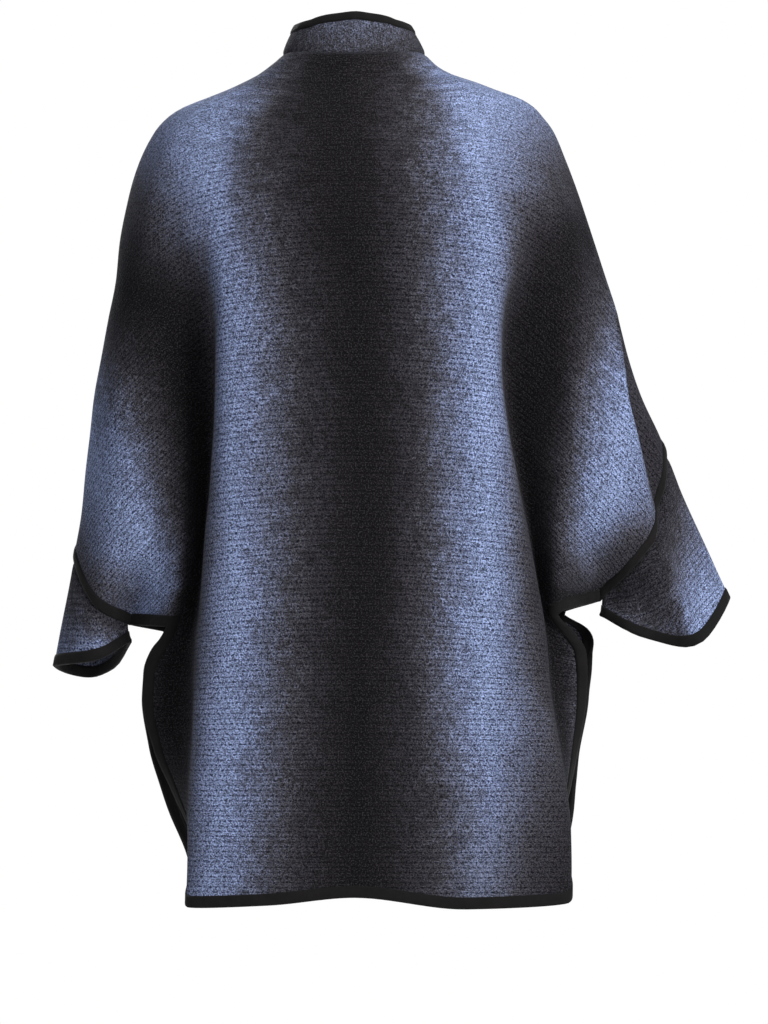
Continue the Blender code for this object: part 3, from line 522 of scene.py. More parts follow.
def fold_lift(side, place, height):
    """How far the folds push the cloth out, in metres, for arrays of places and heights."""
    lift = np.zeros(place.shape)
    for knots, proud, half_width, power in FOLDS[side]:
        close, along = beside(side, place, height, knots, half_width, power)
        lift += proud * MM * close * np.sin(np.pi * (along * 0.8 + 0.1)) ** 1.2
    return lift


def kept_blue_under_painted_shade(side, place, height):
    """The share of its blue that the cloth keeps under the painted shade."""
    kept = np.ones(place.shape)
    for knots, share, half_width, power in PAINTED_SHADE_LINES[side]:
        kept *= 1 - share * beside(side, place, height, knots, half_width, power)[0]
    return kept


# The cloth's long soft waves, each the product of two: how high, then the lengths in x and z and
# the shift of the first, and the lengths in z and y and the shift of the second, in millimetres
WAVES = ((0.55, 31, 67, 1.3, 48, -37, 0), (0.4, 17, -39, 4.1, 23, 29, 0.7))


def waves(points):
    x, y, z = points.T / MM
    return MM * sum(high * np.sin(x / a + z / b + c) * np.sin(z / d + y / e + f)
                    for high, a, b, c, d, e, f in WAVES)


def numbered(mask):
    """Numbers for the true cells of a mask, row by row, and -1 for the others."""
    found = np.full(mask.shape, -1)
    found[mask] = np.arange(mask.sum())
    return found


def vertex_normals(points, faces):
    a, b, c, d = (points[faces[:, k]] for k in range(4))
    total = np.zeros_like(points)
    for k in range(4):
        np.add.at(total, faces[:, k], np.cross(c - a, d - b))
    return unit(total)


class Sheet:
    """A fine open sheet: points on a grid of rows and columns, their faces, normals and places."""

    def __init__(self, grid, place, height=0, left=True):
        """grid is row, column, xyz, and not a number where there is no cloth."""
        there = ~np.isnan(grid[..., 0])
        self.index = index = numbered(there)
        self.points = grid[there]
        height, left = (np.broadcast_to(values, there.shape) for values in (height, left))
        self.place, self.height, self.left = place[there], height[there], left[there]
        corners = np.stack((index[:-1, :-1], index[:-1, 1:], index[1:, 1:], index[1:, :-1]), -1)
        cells = (corners >= 0).all(-1)
        self.faces, self.cell = corners[cells], numbered(cells)
        self.normals = vertex_normals(self.points, self.faces)

    def push(self, lift):
        self.points = self.points + lift[:, None] * self.normals
        self.normals = vertex_normals(self.points, self.faces)

    def halves(self):
        return ("left", self.left), ("right", ~self.left)

    def edges(self):
        across = np.stack((self.index[:, :-1], self.index[:, 1:]), -1).reshape(-1, 2)
        down = np.stack((self.index[:-1], self.index[1:]), -1).reshape(-1, 2)
        both = np.concatenate((across, down))
        return both[(both >= 0).all(1)]


NECK_TUCK = 1.2 * MM        # how far the neck edge is pushed in,
TUCK_DEPTH = 7              # and how far down that goes, in millimetres
SMOOTH_DEPTH = 30           # folds and waves start at the neck and are whole from here, the same


def fine_sheet(halves, edges):
    """A sheet from halves: (side, first line, last line, turn). Columns count out by turn."""
    found = {}
    for side, first, last, turn in halves:
        places = spread(range(first, last + 1), [n * FINE for n in STEPS[first:last]])
        for k, place in enumerate(places):
            if turn * k not in found:
                heights = spread(column_heights(side, place), UPPER_FINE + LOWER_FINE)
                where = moved_fine(place, side, heights, edges)
                found[turn * k] = surface(side, where, heights), where, heights, side
    shape = (HEM_FINE + 1, len(found))
    grid, place, height = np.full(shape + (3,), np.nan), np.zeros(shape), np.zeros(shape)
    left = np.zeros(shape, bool)
    for c, key in enumerate(sorted(found)):
        points, where, heights, side = found[key]
        n = len(points)
        grid[:n, c], place[:n, c], height[:n, c] = points, where, heights
        left[:, c] = side == "left"
    sheet = Sheet(grid, place, height, left)
    lift = waves(sheet.points)
    for side, chosen in sheet.halves():
        lift[chosen] += fold_lift(side, sheet.place[chosen], sheet.height[chosen])
    tuck = np.clip(1 + sheet.height / TUCK_DEPTH, 0, 1) ** 2
    sheet.push(lift * np.clip(-sheet.height / SMOOTH_DEPTH, 0, 1) - NECK_TUCK * tuck)
    return sheet


# ---------------------------------------------------------------- coordinates in the knit
def mirror_place(place):
    """Places with the fronts' lines counted like the back's."""
    return np.where(place > OPENING / 2, OPENING - place, place)


def between_lines(values, line):
    """Values given on whole lines (point, line), taken at each point's own place."""
    low = np.clip(np.floor(line).astype(int), 0, values.shape[1] - 2)
    part = np.clip(line - low, 0, 1)
    row = np.arange(len(line))
    return values[row, low] * (1 - part) + values[row, low + 1] * part


def at_height(table, height):
    """Every column of a table but the first at each height: array point, column."""
    rows = np.array(table)
    return np.stack([np.interp(-height, -rows[:, 0], column) for column in rows.T[1:]], 1)


def tilt_of(sheet):
    """Downward tilt of the knit's rows at each point, in radians."""
    found = at_height(TILT, sheet.height)
    found = np.concatenate((0 * found[:, :1], found), 1)
    return np.radians(between_lines(found, np.minimum(mirror_place(sheet.place), ARM)))


SOLVER_STEPS, SOLVER_END = 500, 1e-12


def flatten(sheet, face_sign):
    """Lays the sheet flat: each point's place along and across the knit's rows, in metres.

    The rows' way is known at each point, and the coordinates are the closest fit to it (least
    squares, by conjugate gradients).
    """
    tilt, normals = tilt_of(sheet), sheet.normals
    turn = np.where(sheet.left, 1.0, -1.0)
    zero = np.zeros(len(tilt))
    along = np.stack((np.cos(tilt), zero, -turn * np.sin(tilt)), 1)
    up = np.stack((turn * np.sin(tilt), zero, np.cos(tilt)), 1)
    along -= (along * normals).sum(1, keepdims=True) * normals
    up -= (up * normals).sum(1, keepdims=True) * normals
    along = unit(along * (along ** 2).sum(1, keepdims=True) + face_sign * (
        np.cross(normals, up) * (up ** 2).sum(1, keepdims=True)))
    across = np.cross(normals, along)
    a, b = sheet.edges().T
    step = sheet.points[b] - sheet.points[a]

    def gathered(change):
        return np.bincount(b, change, len(tilt)) - np.bincount(a, change, len(tilt))

    found = []
    for way, guess in ((along, sheet.points[:, 0]), (across, face_sign * sheet.points[:, 2])):
        x = guess.copy()
        left = gathered(((way[a] + way[b]) / 2 * step).sum(1)) - gathered(x[b] - x[a])
        search, size = left.copy(), left @ left
        for _ in range(SOLVER_STEPS):
            image = gathered(search[b] - search[a])
            reach = size / (search @ image)
            x, left = x + reach * search, left - reach * image
            new = left @ left
            search, size = left + new / size * search, new
            if new < SOLVER_END:
                break
        found.append(x)
    return np.stack(found, 1)


def from_centre(side, place, height, half):
    """The ombre at places near the centre, a half at x = half; it goes faster past its bluest."""
    centre, past = at_height(OMBRE_CENTRE, height).T
    x = TURN[side] * surface(side, place, height)[:, 0] / MM
    value = 0.5 * np.abs(x - TURN[side] * centre) / (half - TURN[side] * centre)
    return value + past * np.maximum(value - 0.5, 0)


def ombre_and_painted_shade_of(sheet):
    """Where each point lies in the ombre, and how blue it gets with the painted shade in it: array
    point, 2.
    """
    line = mirror_place(sheet.place)
    found = np.zeros((len(line), 2))
    for side, chosen in sheet.halves():
        place, height = line[chosen], sheet.height[chosen]
        rows = at_height(OMBRE_AND_SHADE[side], height)
        half, outer, blue_and_painted_shade = rows[:, 0], rows[:, 1:7], rows[:, 7]
        near = from_centre(side, 0 * height + 2, height, half)
        outer = between_lines(np.column_stack((0 * near, 0.5 * near, near, outer)), place)
        found[chosen, 0] = np.where(place < 2, from_centre(side, place, height, half), outer)
        found[chosen, 1] = np.where(place < 3, blue_and_painted_shade, 1) * kept_blue_under_painted_shade(side, place, height)
    return found


def full_blue(ombre):
    """The ombre's values on a grid, as blue as they get."""
    return np.stack((ombre.ravel(), np.ones(ombre.size)), 1)


def strip_map(grid):
    """Coordinates along and across a grid, in metres."""
    across, down = (np.cumsum(np.linalg.norm(np.diff(grid, axis=axis, prepend=first), axis=2), axis)
                    for axis, first in ((1, grid[:, :1]), (0, grid[:1])))
    return np.stack((across.mean(0)[None] + 0 * down, -down), -1).reshape(-1, 2)


# ---------------------------------------------------------------- materials
class Graph:
    """A material's nodes, with short ways to add and join them."""

    def __init__(self, name):
        self.material = bpy.data.materials.new(name)
        self.material.use_nodes = True
        self.nodes, self.links = self.material.node_tree.nodes, self.material.node_tree.links
        self.shader = self.nodes["Principled BSDF"]

    def put(self, socket, value):
        if isinstance(value, bpy.types.NodeSocket):
            self.links.new(value, socket)
        else:
            socket.default_value = value

    def node(self, kind, inputs, **settings):
        """Adds a node with its settings and inputs, by number or name, and gives its outputs."""
        node = self.nodes.new("ShaderNode" + kind)
        for name, value in settings.items():
            setattr(node, name, value)
        for key, value in dict(inputs).items():
            self.put(node.inputs[key], value)
        return node.outputs

    def math(self, operation, *values):
        return self.node("Math", enumerate(values), operation=operation)[0]

    def times(self, *values):
        return functools.reduce(lambda a, b: self.math("MULTIPLY", a, b), values)

    def vector(self, x, y, z=0.0):
        return self.node("CombineXYZ", enumerate((x, y, z)))[0]

    def split(self, vector):
        return self.node("SeparateXYZ", {0: vector})[:]

    def uv(self, name):
        return self.split(self.node("UVMap", {}, uv_map=name)[0])[:2]

    def spot(self):
        """Place in the garment, in stitches."""
        inputs = {0: self.node("TexCoord", {})["Object"], "Scale": 1 / STITCH}
        return self.node("VectorMath", inputs, operation="SCALE")[0]

    def noise(self, vector, scale, detail=2.0):
        return self.node("TexNoise", {"Vector": vector, "Scale": scale, "Detail": detail,
                                      "Roughness": 0.5})["Fac"]

    def random(self, *values):
        return self.node("TexWhiteNoise", {"Vector": self.vector(*values)},
                         noise_dimensions="2D")["Value"]

    def ramp(self, value, stops):
        out = self.node("ValToRGB", {0: value})[0]
        elements = out.node.color_ramp.elements
        while len(elements) < len(stops):
            elements.new(0.5)
        for element, (at, colour) in zip(elements, stops):
            element.position = at
            element.color = linear(colour)
        return out

    def mix(self, blend, share, a, b):
        return self.node("Mix", {0: share, 6: a, 7: b}, data_type="RGBA", blend_type=blend)[2]

    def shaded(self, colour, shade):
        return self.mix("MULTIPLY", 1.0, colour, self.vector(shade, shade, shade))

    def span(self, value, low, high, start=0.0, end=1.0):
        """value from start to end becomes low to high, and no more."""
        return self.node("MapRange", enumerate((value, start, end, low, high)))[0]

    def bump(self, height, strength, distance, **under):
        return self.node("Bump", {"Strength": strength, "Distance": distance, "Height": height,
                                  **under})[0]


def linear(hex_colour):
    """sRGB hex to linear."""
    values = [int(hex_colour[k:k + 2], 16) / 255 for k in (0, 2, 4)]
    return (*(v / 12.92 if v <= 0.04045 else ((v + 0.055) / 1.055) ** 2.4 for v in values), 1)


# Colours: the yarn as the ombre goes from dark to blue, its pale fibres, and the binding
KNIT_STOPS = ((0.0, "0b0809"), (0.2, "191618"), (0.4, "323035"), (0.5, "414046"), (0.6, "525462"),
              (0.7, "656b80"), (0.8, "7580a0"), (0.9, "8492b5"), (1.0, "8b9abf"))
FLECK_COLOUR = "74737a"
BINDING_STOPS = ((0.3, "080607"), (0.75, "151113"))
CLOSE_KNIT = (-0.17 / STITCH, -0.05 / STITCH)     # heights between which the stitches fade upwards


def knit_material(name):
    g = Graph(name)
    u, v = g.uv("Knit")
    q, blue_and_painted_shade = g.uv("OmbreAndShade")
    where, spot = g.vector(u, v), g.spot()
    x, _, z = g.split(spot)
    # rows of stitches, each row half a stitch on from the last, with a hand's unevenness
    u = g.math("ADD", u, g.span(g.noise(where, 0.9), -0.7, 0.7))
    v = g.math("ADD", v, g.span(g.noise(g.vector(v, u, 5.0), 0.8), -0.32, 0.32))
    row = g.math("FLOOR", g.math("ADD", v, 0.5))
    off_row = g.math("SUBTRACT", v, row)
    along = g.math("ADD", g.math("MULTIPLY_ADD", row, 0.5, u), 0.5)
    stitch = g.math("FLOOR", along)
    off_stitch = g.math("SUBTRACT", g.math("FRACT", along), 0.5)

    def bell(value, width):
        part = g.math("DIVIDE", value, width)
        return g.math("EXPONENT", g.times(part, part, -1.0))

    # a hole between stitches, a groove along their row, a low line along their middle, and strands
    each = g.random(stitch, row)
    ragged = g.noise(spot, 2.8, 1)
    hole = g.times(bell(off_row, 0.18), bell(off_stitch, 0.28), g.span(each, 0.55, 1.2),
                   g.span(ragged, 0.55, 1.35, 0.3, 0.7))
    groove = g.times(bell(off_row, 0.16), g.span(ragged, 0.4, 1.5, 0.3, 0.7))
    middle = bell(g.math("SUBTRACT", g.math("ABSOLUTE", off_row), 0.5), 0.13)
    strand = g.math("SINE", g.times(g.math("MULTIPLY_ADD", off_row, 1.2, along), 4 * math.pi))
    low = g.math("ADD", g.times(groove, 0.22), g.times(middle, 0.16))
    low = g.math("MULTIPLY_ADD", hole, 0.90, low)
    # the stitches lie closer together over the shoulders, and show less
    low = g.times(low, g.span(z, 1.0, 0.5, *CLOSE_KNIT))
    form = g.math("MULTIPLY_ADD", strand, 0.07, g.math("SUBTRACT", 1.0, low))
    # the ombre changes from yarn to yarn, and each stitch is a mix of light and dark fibres
    for uneven, most in ((g.noise(spot, 0.16), 0.05), (g.noise(spot, 4.9, 1), 0.12),
                         (g.random(stitch, row, 1.0), 0.02)):
        q = g.math("ADD", q, g.span(uneven, -most, most))
    wave = g.times(g.math("PINGPONG", g.math("ABSOLUTE", q), 0.5), 2.0)
    # painted shade: the second value darkens the colour where the cloth lies in shade
    colour = g.ramp(g.times(wave, blue_and_painted_shade), KNIT_STOPS)
    fibre = g.noise(spot, 3.9, 1)
    shade = g.times(g.span(each, 0.82, 1.18), g.span(fibre, 0.2, 1.95, 0.33, 0.67))
    fleck = g.span(g.noise(g.vector(z, x), 3.7, 1), 0.0, 0.22, 0.52, 0.68)
    colour = g.mix("MIX", fleck, g.shaded(colour, shade), linear(FLECK_COLOUR))
    # painted shade: the holes and grooves between the stitches are coloured darker, as shade falls
    # in them
    painted_hollow_shade = g.span(low, 1.0, 0.16)
    colour = g.mix("MULTIPLY", 1.0, colour, g.vector(painted_hollow_shade, painted_hollow_shade, g.math("POWER", painted_hollow_shade, 0.8)))
    g.put(g.shader.inputs["Base Color"], colour)
    g.shader.inputs["Roughness"].default_value = 0.95
    g.shader.inputs["Specular IOR Level"].default_value = 0.15
    g.shader.inputs["Sheen Weight"].default_value = 0.06
    g.shader.inputs["Sheen Roughness"].default_value = 0.5
    g.shader.inputs["Sheen Tint"].default_value = (0.75, 0.82, 1.0, 1.0)
    fuzz = g.bump(fibre, 0.5, 0.0007)
    g.put(g.shader.inputs["Normal"], g.bump(form, 0.8, 0.0013, Normal=fuzz))
    return g.material


def binding_material(name):
    g = Graph(name)
    u, v = g.uv("Knit")
    where = g.vector(u, v)
    weave = g.times(g.math("SINE", g.times(g.math("ADD", u, v), 14.0)),
                    g.math("SINE", g.times(g.math("SUBTRACT", u, v), 14.0)))
    colour = g.ramp(g.noise(where, 0.3, 3), BINDING_STOPS)
    g.put(g.shader.inputs["Base Color"], g.shaded(colour, g.span(weave, 0.75, 1.25)))
    g.shader.inputs["Roughness"].default_value = 0.85
    g.shader.inputs["Specular IOR Level"].default_value = 0.3
    g.shader.inputs["Sheen Weight"].default_value = 0.08
    g.shader.inputs["Sheen Roughness"].default_value = 0.4
    pucker = g.bump(g.noise(where, 0.5), 0.4, 0.0015)
    g.put(g.shader.inputs["Normal"], g.bump(weave, 0.4, 0.0003, Normal=pucker))
    return g.material


def plain_material(name, colour, rough):
    g = Graph(name)
    g.shader.inputs["Base Color"].default_value = colour
    g.shader.inputs["Roughness"].default_value = rough
    return g.material


KNITTED = knit_material("heather_knit")
BOUND_CLOTH = binding_material("black_binding")


# ---------------------------------------------------------------- meshes
def directed(faces):
    return {(int(f[k]), int(f[(k + 1) % len(f)])) for f in faces for k in range(len(f))}


def make_object(name, points, faces, maps, material):
    mesh = bpy.data.meshes.new(name)
    mesh.from_pydata([tuple(p) for p in points], [], [tuple(int(i) for i in f) for f in faces])
    mesh.shade_smooth()
    loops = np.zeros(len(mesh.loops), int)
    mesh.loops.foreach_get("vertex_index", loops)
    for map_name, values in maps.items():
        layer = mesh.uv_layers.new(name=map_name)
        layer.data.foreach_set("uv", values[loops].astype(np.float32).ravel())
    mesh.materials.append(material)
    made = bpy.data.objects.new(name, mesh)
    bpy.context.scene.collection.objects.link(made)
    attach(made, "root")
    return made


def shell(name, node, sheet, knit, ombre):
    """The sheet with the knit's thickness, open edges rounded a little."""
    n = len(sheet.points)
    half = np.full(n, KNIT / 2)
    edge_set = directed(sheet.faces)
    rims = [e for e in edge_set if e[::-1] not in edge_set]
    half[sorted({p for e in rims for p in e})] *= 0.75
    offset = half[:, None] * sheet.normals
    points = np.concatenate((sheet.points + offset, sheet.points - offset))
    faces = [*sheet.faces, *(sheet.faces[:, ::-1] + n), *((b, a, a + n, b + n) for a, b in rims)]
    maps = {"Knit": np.tile(knit / (STITCH, COURSE), (2, 1)), "OmbreAndShade": np.tile(ombre, (2, 1))}
    made = make_object(name, points, faces, maps, KNITTED)
    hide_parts(node)
    return made


TAPE_LIFT = 0.1 * MM                    # how far the binding's middle lies off the knit
RIM_RISE, RISE = 0.45 * MM, 1.25 * MM   # its outer face over that, at its rim and elsewhere
TAPE_SINK = 0.4 * MM                    # its inner face under that
# How far its faces and its rounded edge go past the knit's edge, and how high that edge starts
PAST_INNER, PAST_OUTER, PAST_ROUND, ROUND_SHARE = 0.2 * MM, 1.0 * MM, 1.75 * MM, 0.55
RING = ("outer", "round_out", "round_in", "under", "under_inner", "inner")


def tape(name, node, sheet, faces, free_edges, knit):
    """Binding over some faces of a sheet, crowned, and folded round their free edges."""
    points, normals = sheet.points, sheet.normals
    lift = KNIT / 2 + TAPE_LIFT
    faces = [[int(p) for p in face] for face in faces]
    edge_set = directed(faces)
    rims = [e for e in edge_set if e[::-1] not in edge_set and e not in free_edges]
    on_rim = {p for e in rims for p in e}
    ways = {}
    for face in faces:
        for a, b in directed([face]) & free_edges:
            way = unit(np.cross(points[b] - points[a], normals[a] + normals[b]))
            for p in (a, b):
                ways[p] = ways.get(p, 0) + way
    made_points, number = [], {}
    for p in sorted({p for face in faces for p in face}):
        crown = lift + (RIM_RISE if p in on_rim and p not in ways else RISE)
        layers = {"outer": (crown, PAST_OUTER), "inner": (lift - TAPE_SINK, PAST_INNER)}
        if free_edges:
            layers["under_inner"] = (TAPE_SINK - lift, PAST_INNER)
            layers["under"] = (-crown, PAST_OUTER)
        way = 0
        if p in ways:
            layers["round_out"] = (ROUND_SHARE * crown, PAST_ROUND)
            layers["round_in"] = (-ROUND_SHARE * crown, PAST_ROUND)
            way = unit(ways[p] - (ways[p] @ normals[p]) * normals[p])
        for layer, (height, past) in layers.items():
            number[layer, p] = len(made_points)
            made_points.append(points[p] + height * normals[p] + past * way)
    made_faces = []

    def add(*corners):
        made_faces.append([number[corner] for corner in corners])

    def wall(edges, *layers):
        for a, b in edges:
            for upper, lower in zip(layers, layers[1:]):
                add((upper, b), (upper, a), (lower, a), (lower, b))

    for upper, lower in (("outer", "inner"), ("under_inner", "under"))[:1 + bool(free_edges)]:
        for face in faces:
            add(*[(upper, p) for p in face])
            add(*[(lower, p) for p in reversed(face)])
        wall(rims, upper, lower)
    wall(free_edges, "outer", "round_out", "round_in", "under")
    wall(free_edges, "under_inner", "inner")
    starts, ends = {a for a, _ in free_edges}, {b for _, b in free_edges}
    for p in starts ^ ends:
        ring = [(layer, p) for layer in RING]
        add(*(ring if p in starts else reversed(ring)))
    maps = {"Knit": (knit / (STITCH, COURSE))[[p for _, p in number]]}
    made = make_object(name, made_points, made_faces, maps, BOUND_CLOTH)
    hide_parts(node)
    return made


def bind(name, node, sheet, blocks, knit, bare=()):
    """Binding over blocks of the sheet's grid, folded round its edges except at the bare points."""
    chosen = sorted({int(c) for rows, cols in blocks
                     for c in sheet.cell[slice(*rows), slice(*cols)].flat if c >= 0})
    faces, own, bare = sheet.faces[chosen], directed(sheet.faces), set(np.ravel(bare))
    free = {e for e in directed(faces) if e[::-1] not in own and not bare.issuperset(e)}
    return tape(name, node, sheet, faces, free, knit)


# ---------------------------------------------------------------- the garment
# Rows of the fine grid under the binding of the wing's bottom, of the slit and of the hem
WING_ROWS = (SLIT_FINE - UPPER_FINE[-1], SLIT_FINE)
SLIT_ROWS = (SLIT_FINE, HEM_FINE)
HEM_ROWS = (HEM_FINE - LOWER_FINE[-1], HEM_FINE)


def fine_count(first, last):
    return FINE * sum(STEPS[first:last])


def block(rows, origin, turn, first, last):
    """Rows and columns of a block of the grid, its columns counted out from the origin by turn."""
    return rows, sorted((origin + turn * first, origin + turn * last))


def build_back():
    halves = [(side, 0, SHOULDER_SEAM, turn) for side, turn in TURN.items()]
    sheet = fine_sheet(halves, BACK_EDGES)
    knit = flatten(sheet, 1)
    made = shell("knit_back", "back", sheet, knit, ombre_and_painted_shade_of(sheet))
    n, side, under = (fine_count(0, line) for line in (SHOULDER_SEAM, SIDE, UNDER))
    blocks = [(HEM_ROWS, (n - side, n + side))]
    for turn in TURN.values():
        blocks.append(block(WING_ROWS, n, turn, side - FINE, under))
        blocks.append(block(SLIT_ROWS, n, turn, side - FINE, side))
    binding = bind("bound_back", "binding_back", sheet, blocks, knit)
    return sheet


def build_front(side):
    turn = TURN[side]
    sheet = fine_sheet(((side, SHOULDER_SEAM, OPENING, turn),), FRONT_EDGES)
    knit = flatten(sheet, -1)
    made = shell("knit_front_" + side, "front_" + side, sheet, knit, ombre_and_painted_shade_of(sheet))
    count = sheet.index.shape[1] - 1
    under, edge = (fine_count(SHOULDER_SEAM, line) for line in (FRONT_UNDER, FRONT_SIDE))
    blocks = [block(rows, 0 if turn == 1 else count, turn, first, last) for rows, first, last in (
        (WING_ROWS, under, edge + FINE), (SLIT_ROWS, edge, edge + FINE), (HEM_ROWS, edge, count),
        ((0, HEM_FINE), count - FINE, count))]
    binding = bind("bound_front_" + side, "binding_front_" + side, sheet, blocks, knit,
                   sheet.index[0])
    return sheet


def sleeve_ring(side, back, front, rows):
    """Points, normals and places round the sleeve's end, from its under point by the back."""
    n, turn = fine_count(0, SHOULDER_SEAM), TURN[side]
    ring = [(back, n + turn * k) for k in range(fine_count(0, UNDER), n)]
    origin = 0 if turn == 1 else front.index.shape[1] - 1
    ring += [(front, origin + turn * k) for k in range(fine_count(SHOULDER_SEAM, FRONT_UNDER) + 1)]
    at = [[(sheet, sheet.index[row, column]) for sheet, column in ring[::turn]] for row in rows]
    return [np.array([[getattr(sheet, what)[i] for sheet, i in line] for line in at])
            for what in ("points", "normals", "place")]


SLEEVE_BAND_REACH = 1.18                  # the band goes a little past the sleeve's end


def build_sleeve_band(side, back, front):
    grid, normals, place = sleeve_ring(side, back, front, range(WING_ROWS[0], SLIT_FINE + 1))
    grid = grid[0] + (grid - grid[0]) * SLEEVE_BAND_REACH
    sheet = Sheet(grid, place)
    sheet.normals = normals.reshape(-1, 3)
    return tape("bound_sleeve_" + side, "sleeve_band_" + side, sheet, sheet.faces, set(),
                strip_map(grid))


CUFF_ROWS, CUFF_HEM_ROWS = 26, 4
CUFF_TURN = {"left": 40, "right": -25}    # how far the knit's rows turn from its seam, degrees
CUFF_SLANT = 0.2                          # how far the folds' places move by the hem
CUFF_TUCK = 2.4 * MM                      # how far the cuff's edge goes under the sleeve
# The cuffs' folds: place, how proud in millimetres, half width in places, and how round
CUFF_FOLDS = {
    "left": ((6.2, 2.5, 0.5, 2), (8.2, -3, 0.6, 2)),
    "right": ((6.18, 13, 0.16, 1.1), (5.7, -6, 0.35, 2), (6.8, -4, 0.35, 2), (8.4, -3, 0.6, 2)),
}
# Their ombre: at the seam, how much further at the hem, the power of the way there, how far its
# places move by the hem, and places with the share of it that they have. On the right cuff that
# share stays low up to the ridge fold near place 6.18 and jumps there: painted shade on the fold's
# shaded side.
CUFF_OMBRE_AND_SHADE = {
    "left": (2.17, 0.26, 1, 0, (5, 6, 8, 10), (0.3, 1, 1, 0.3)),
    "right": (2.13, 0.42, 0.95, CUFF_SLANT,
              (5, 5.85, 6.11, 6.19, 9, 10), (0.3, 0.36, 0.50, 1, 1, 0.3)),
}


def build_cuff(side, back, front):
    (above, edge), (_, normal), (_, place) = sleeve_ring(side, back, front, WING_ROWS)
    fall = unit(edge - above)
    way = np.cross(np.gradient(edge, axis=0), normal)
    way = unit(way * np.sign((way * fall).sum(1, keepdims=True)))
    start = edge + CUFF_GAP * way
    for end, inner in ((0, 1), (-1, -2)):
        start[end] += UNDER_GAP * (way[end] / 2 + unit(edge[inner] - edge[end]))
    knots, *axes = zip(*CUFF[side])
    hem = np.stack([monotone(-np.array(knots), axis, -place) for axis in axes], 1) * MM
    hem[:, 0] *= TURN[side]
    reach = hem - start
    length = np.linalg.norm(reach, axis=1, keepdims=True)
    knee = 1 - np.minimum(BOUND, 0.6 * length) / length
    share = spread((0 * knee, knee, 1 + 0 * knee), (CUFF_ROWS, CUFF_HEM_ROWS))
    grid = start + share * reach + share * (1 - share) ** 2 * (length * fall - reach)
    sheet = Sheet(grid, np.tile(place, (len(grid), 1)))
    down = np.linspace(0, 1, len(grid))[:, None] + 0 * place
    lift = -CUFF_TUCK * np.exp(-(down / 0.05) ** 2)
    for middle, proud, width, power in CUFF_FOLDS[side]:
        away = np.abs(place - middle - CUFF_SLANT * down) / width
        lift += proud * MM * np.exp(-away ** power) * np.minimum(1, 4 * down)
    sheet.push(lift.ravel() + 0.6 * waves(sheet.points) * np.minimum(1, 5 * down).ravel())
    turned = math.radians(CUFF_TURN[side])
    cos, sin = math.cos(turned), math.sin(turned)
    knit = strip_map(grid) @ np.array(((cos, sin), (-sin, cos)))
    seam, gain, power, slant, at, shares = CUFF_OMBRE_AND_SHADE[side]
    ombre = seam + gain * down ** power * np.interp(place - slant * down, at, shares)
    made = shell("knit_cuff_" + side, "cuff_" + side, sheet, knit, full_blue(ombre))
    blocks = [((CUFF_ROWS, CUFF_ROWS + CUFF_HEM_ROWS), (0, len(place) - 1))]
    binding = bind("bound_cuff_" + side, "cuff_binding_" + side, sheet, blocks, knit,
                   sheet.index[:, [0, -1]])
    band = build_sleeve_band(side, back, front)
    width = sum(np.linalg.norm(np.diff(grid[row], axis=0), axis=1).sum() for row in (0, -1)) / 2


COLLAR_FINE, COLLAR_ROWS, COLLAR_TOP_ROWS = 60, 12, 3
COLLAR_TUCK = 1.8 * MM          # how far the collar's foot goes down behind the sheet
FOOT_SINK, BELLY = 2.0 * MM, 0.9 * MM     # how far its foot is pushed in, and its middle out
COLLAR_OMBRE = ((0, 4, 6, 7.5), (0.31, 0.29, 0.25, 0.22))     # places, and where they lie in it
COLLAR_KNIT_SCALE = 1.5         # its stitches are smaller


def build_collar():
    found = {}
    for side, turn in TURN.items():
        inner = margins(side, OPENING, -1, BOUND_COLLAR, [0], 201)[0]
        run = spread((0, inner, OPENING), (COLLAR_FINE, COLLAR_TOP_ROWS))
        foot = surface(side, run, 0 * run)
        rise = through(np.tile(past_ends(collar_top(side)), (len(run), 1, 1)), run) - foot
        length = np.linalg.norm(rise, axis=1)
        shares = spread((-COLLAR_TUCK / length, 1 - BOUND_COLLAR / length, 1 + 0 * length),
                        (COLLAR_ROWS, COLLAR_TOP_ROWS))[::-1]
        for k, place in enumerate(run):
            found[turn * k] = foot[k] + shares[:, k, None] * rise[k], place
    keys = sorted(found)
    grid = np.stack([found[key][0] for key in keys], axis=1)
    place = np.tile([found[key][1] for key in keys], (len(grid), 1))
    sheet = Sheet(grid, place)
    up = np.linspace(1, 0, len(grid))[:, None] + 0 * place
    lift = BELLY * np.sin(np.pi * up) - FOOT_SINK * np.exp(-(up / 0.10) ** 2)
    sheet.push(lift.ravel() + 0.5 * waves(sheet.points))
    knit = COLLAR_KNIT_SCALE * strip_map(grid)[:, ::-1]
    ombre = np.interp(mirror_place(place), *COLLAR_OMBRE) - 0.05 * (1 - up)
    made = shell("knit_collar", "collar", sheet, knit, full_blue(ombre))
    rows, n = len(grid), len(keys) - 1
    blocks = [((0, COLLAR_TOP_ROWS), (0, n)), ((0, rows), (0, COLLAR_TOP_ROWS)),
              ((0, rows), (n - COLLAR_TOP_ROWS, n))]
    binding = bind("bound_collar", "binding_collar", sheet, blocks, knit, sheet.index[-1])


# ---------------------------------------------------------------- camera, light and floor
PHOTO_HEIGHT, FOCAL_PIXELS = 1024, 3333
SENSOR = 36                               # millimetres
EYE = (-0.0294, 3.5, -0.475)
LIT_POINT = np.array((0, 0, -0.45))
LAMPS = (                                 # name, place, size and power
    ("key", (-1.9, 2.3, 0.7), 1.3, 76), ("fill", (1.4, 3.0, 0.2), 1.8, 7),
    ("top", (-0.2, 0.6, 2.2), 1.6, 16), ("front", (0.9, -3.0, 0.8), 1.8, 70),
)
FLOOR_RADIUS, FLOOR_Z, FLOOR_CORNERS = 2.4, -1.5, 96


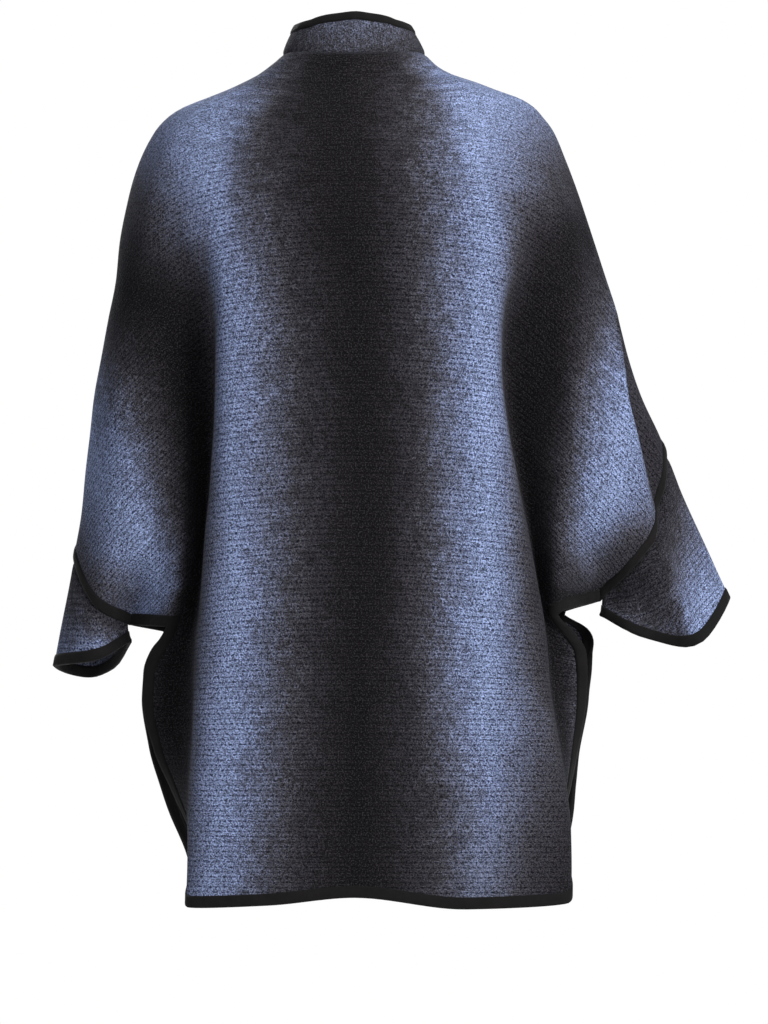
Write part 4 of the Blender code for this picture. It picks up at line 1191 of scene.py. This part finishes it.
def studio():
    scene = bpy.context.scene
    camera = bpy.data.cameras.new("camera")
    camera.sensor_fit, camera.sensor_height = "VERTICAL", SENSOR
    camera.lens = FOCAL_PIXELS / PHOTO_HEIGHT * SENSOR
    eye = bpy.data.objects.new("camera", camera)
    eye.location = EYE
    eye.rotation_euler = (math.radians(90), 0, math.radians(180))
    scene.collection.objects.link(eye)
    scene.camera = eye
    for name, place, size, power in LAMPS:
        lamp = bpy.data.lights.new(name, "AREA")
        lamp.shape, lamp.size, lamp.energy = "DISK", size, power
        made = bpy.data.objects.new(name, lamp)
        made.location = place
        x, y, z = unit(LIT_POINT - place)
        made.rotation_euler = (math.acos(-z), 0, math.atan2(-x, y))
        scene.collection.objects.link(made)
    # the light round the garment is dim and bluish, and the camera sees white
    world = bpy.data.worlds.new("studio")
    world.use_nodes = True
    nodes, links = world.node_tree.nodes, world.node_tree.links
    dim, seen = nodes["Background"], nodes.new("ShaderNodeBackground")
    dim.inputs[0].default_value, dim.inputs[1].default_value = (0.93, 0.95, 1.0, 1), 0.2
    seen.inputs[0].default_value, seen.inputs[1].default_value = (1, 1, 1, 1), 1.0
    path, mix = nodes.new("ShaderNodeLightPath"), nodes.new("ShaderNodeMixShader")
    for output, socket in ((path.outputs["Is Camera Ray"], mix.inputs[0]),
                           (dim.outputs[0], mix.inputs[1]), (seen.outputs[0], mix.inputs[2]),
                           (mix.outputs[0], nodes["World Output"].inputs[0])):
        links.new(output, socket)
    scene.world = world
    scene.view_settings.view_transform = "Standard"
    ring = np.linspace(0, 2 * math.pi, FLOOR_CORNERS + 1)[:-1]
    rim = [(FLOOR_RADIUS * math.cos(t), FLOOR_RADIUS * math.sin(t), FLOOR_Z) for t in ring]
    mesh = bpy.data.meshes.new("floor")
    mesh.from_pydata(rim, [], [tuple(range(FLOOR_CORNERS))])
    mesh.materials.append(plain_material("pale_floor", (0.86, 0.86, 0.85, 1), 0.7))
    floor = bpy.data.objects.new("floor", mesh)
    scene.collection.objects.link(floor)


back = build_back()
for side in TURN:
    build_cuff(side, back, build_front(side))
build_collar()
studio()
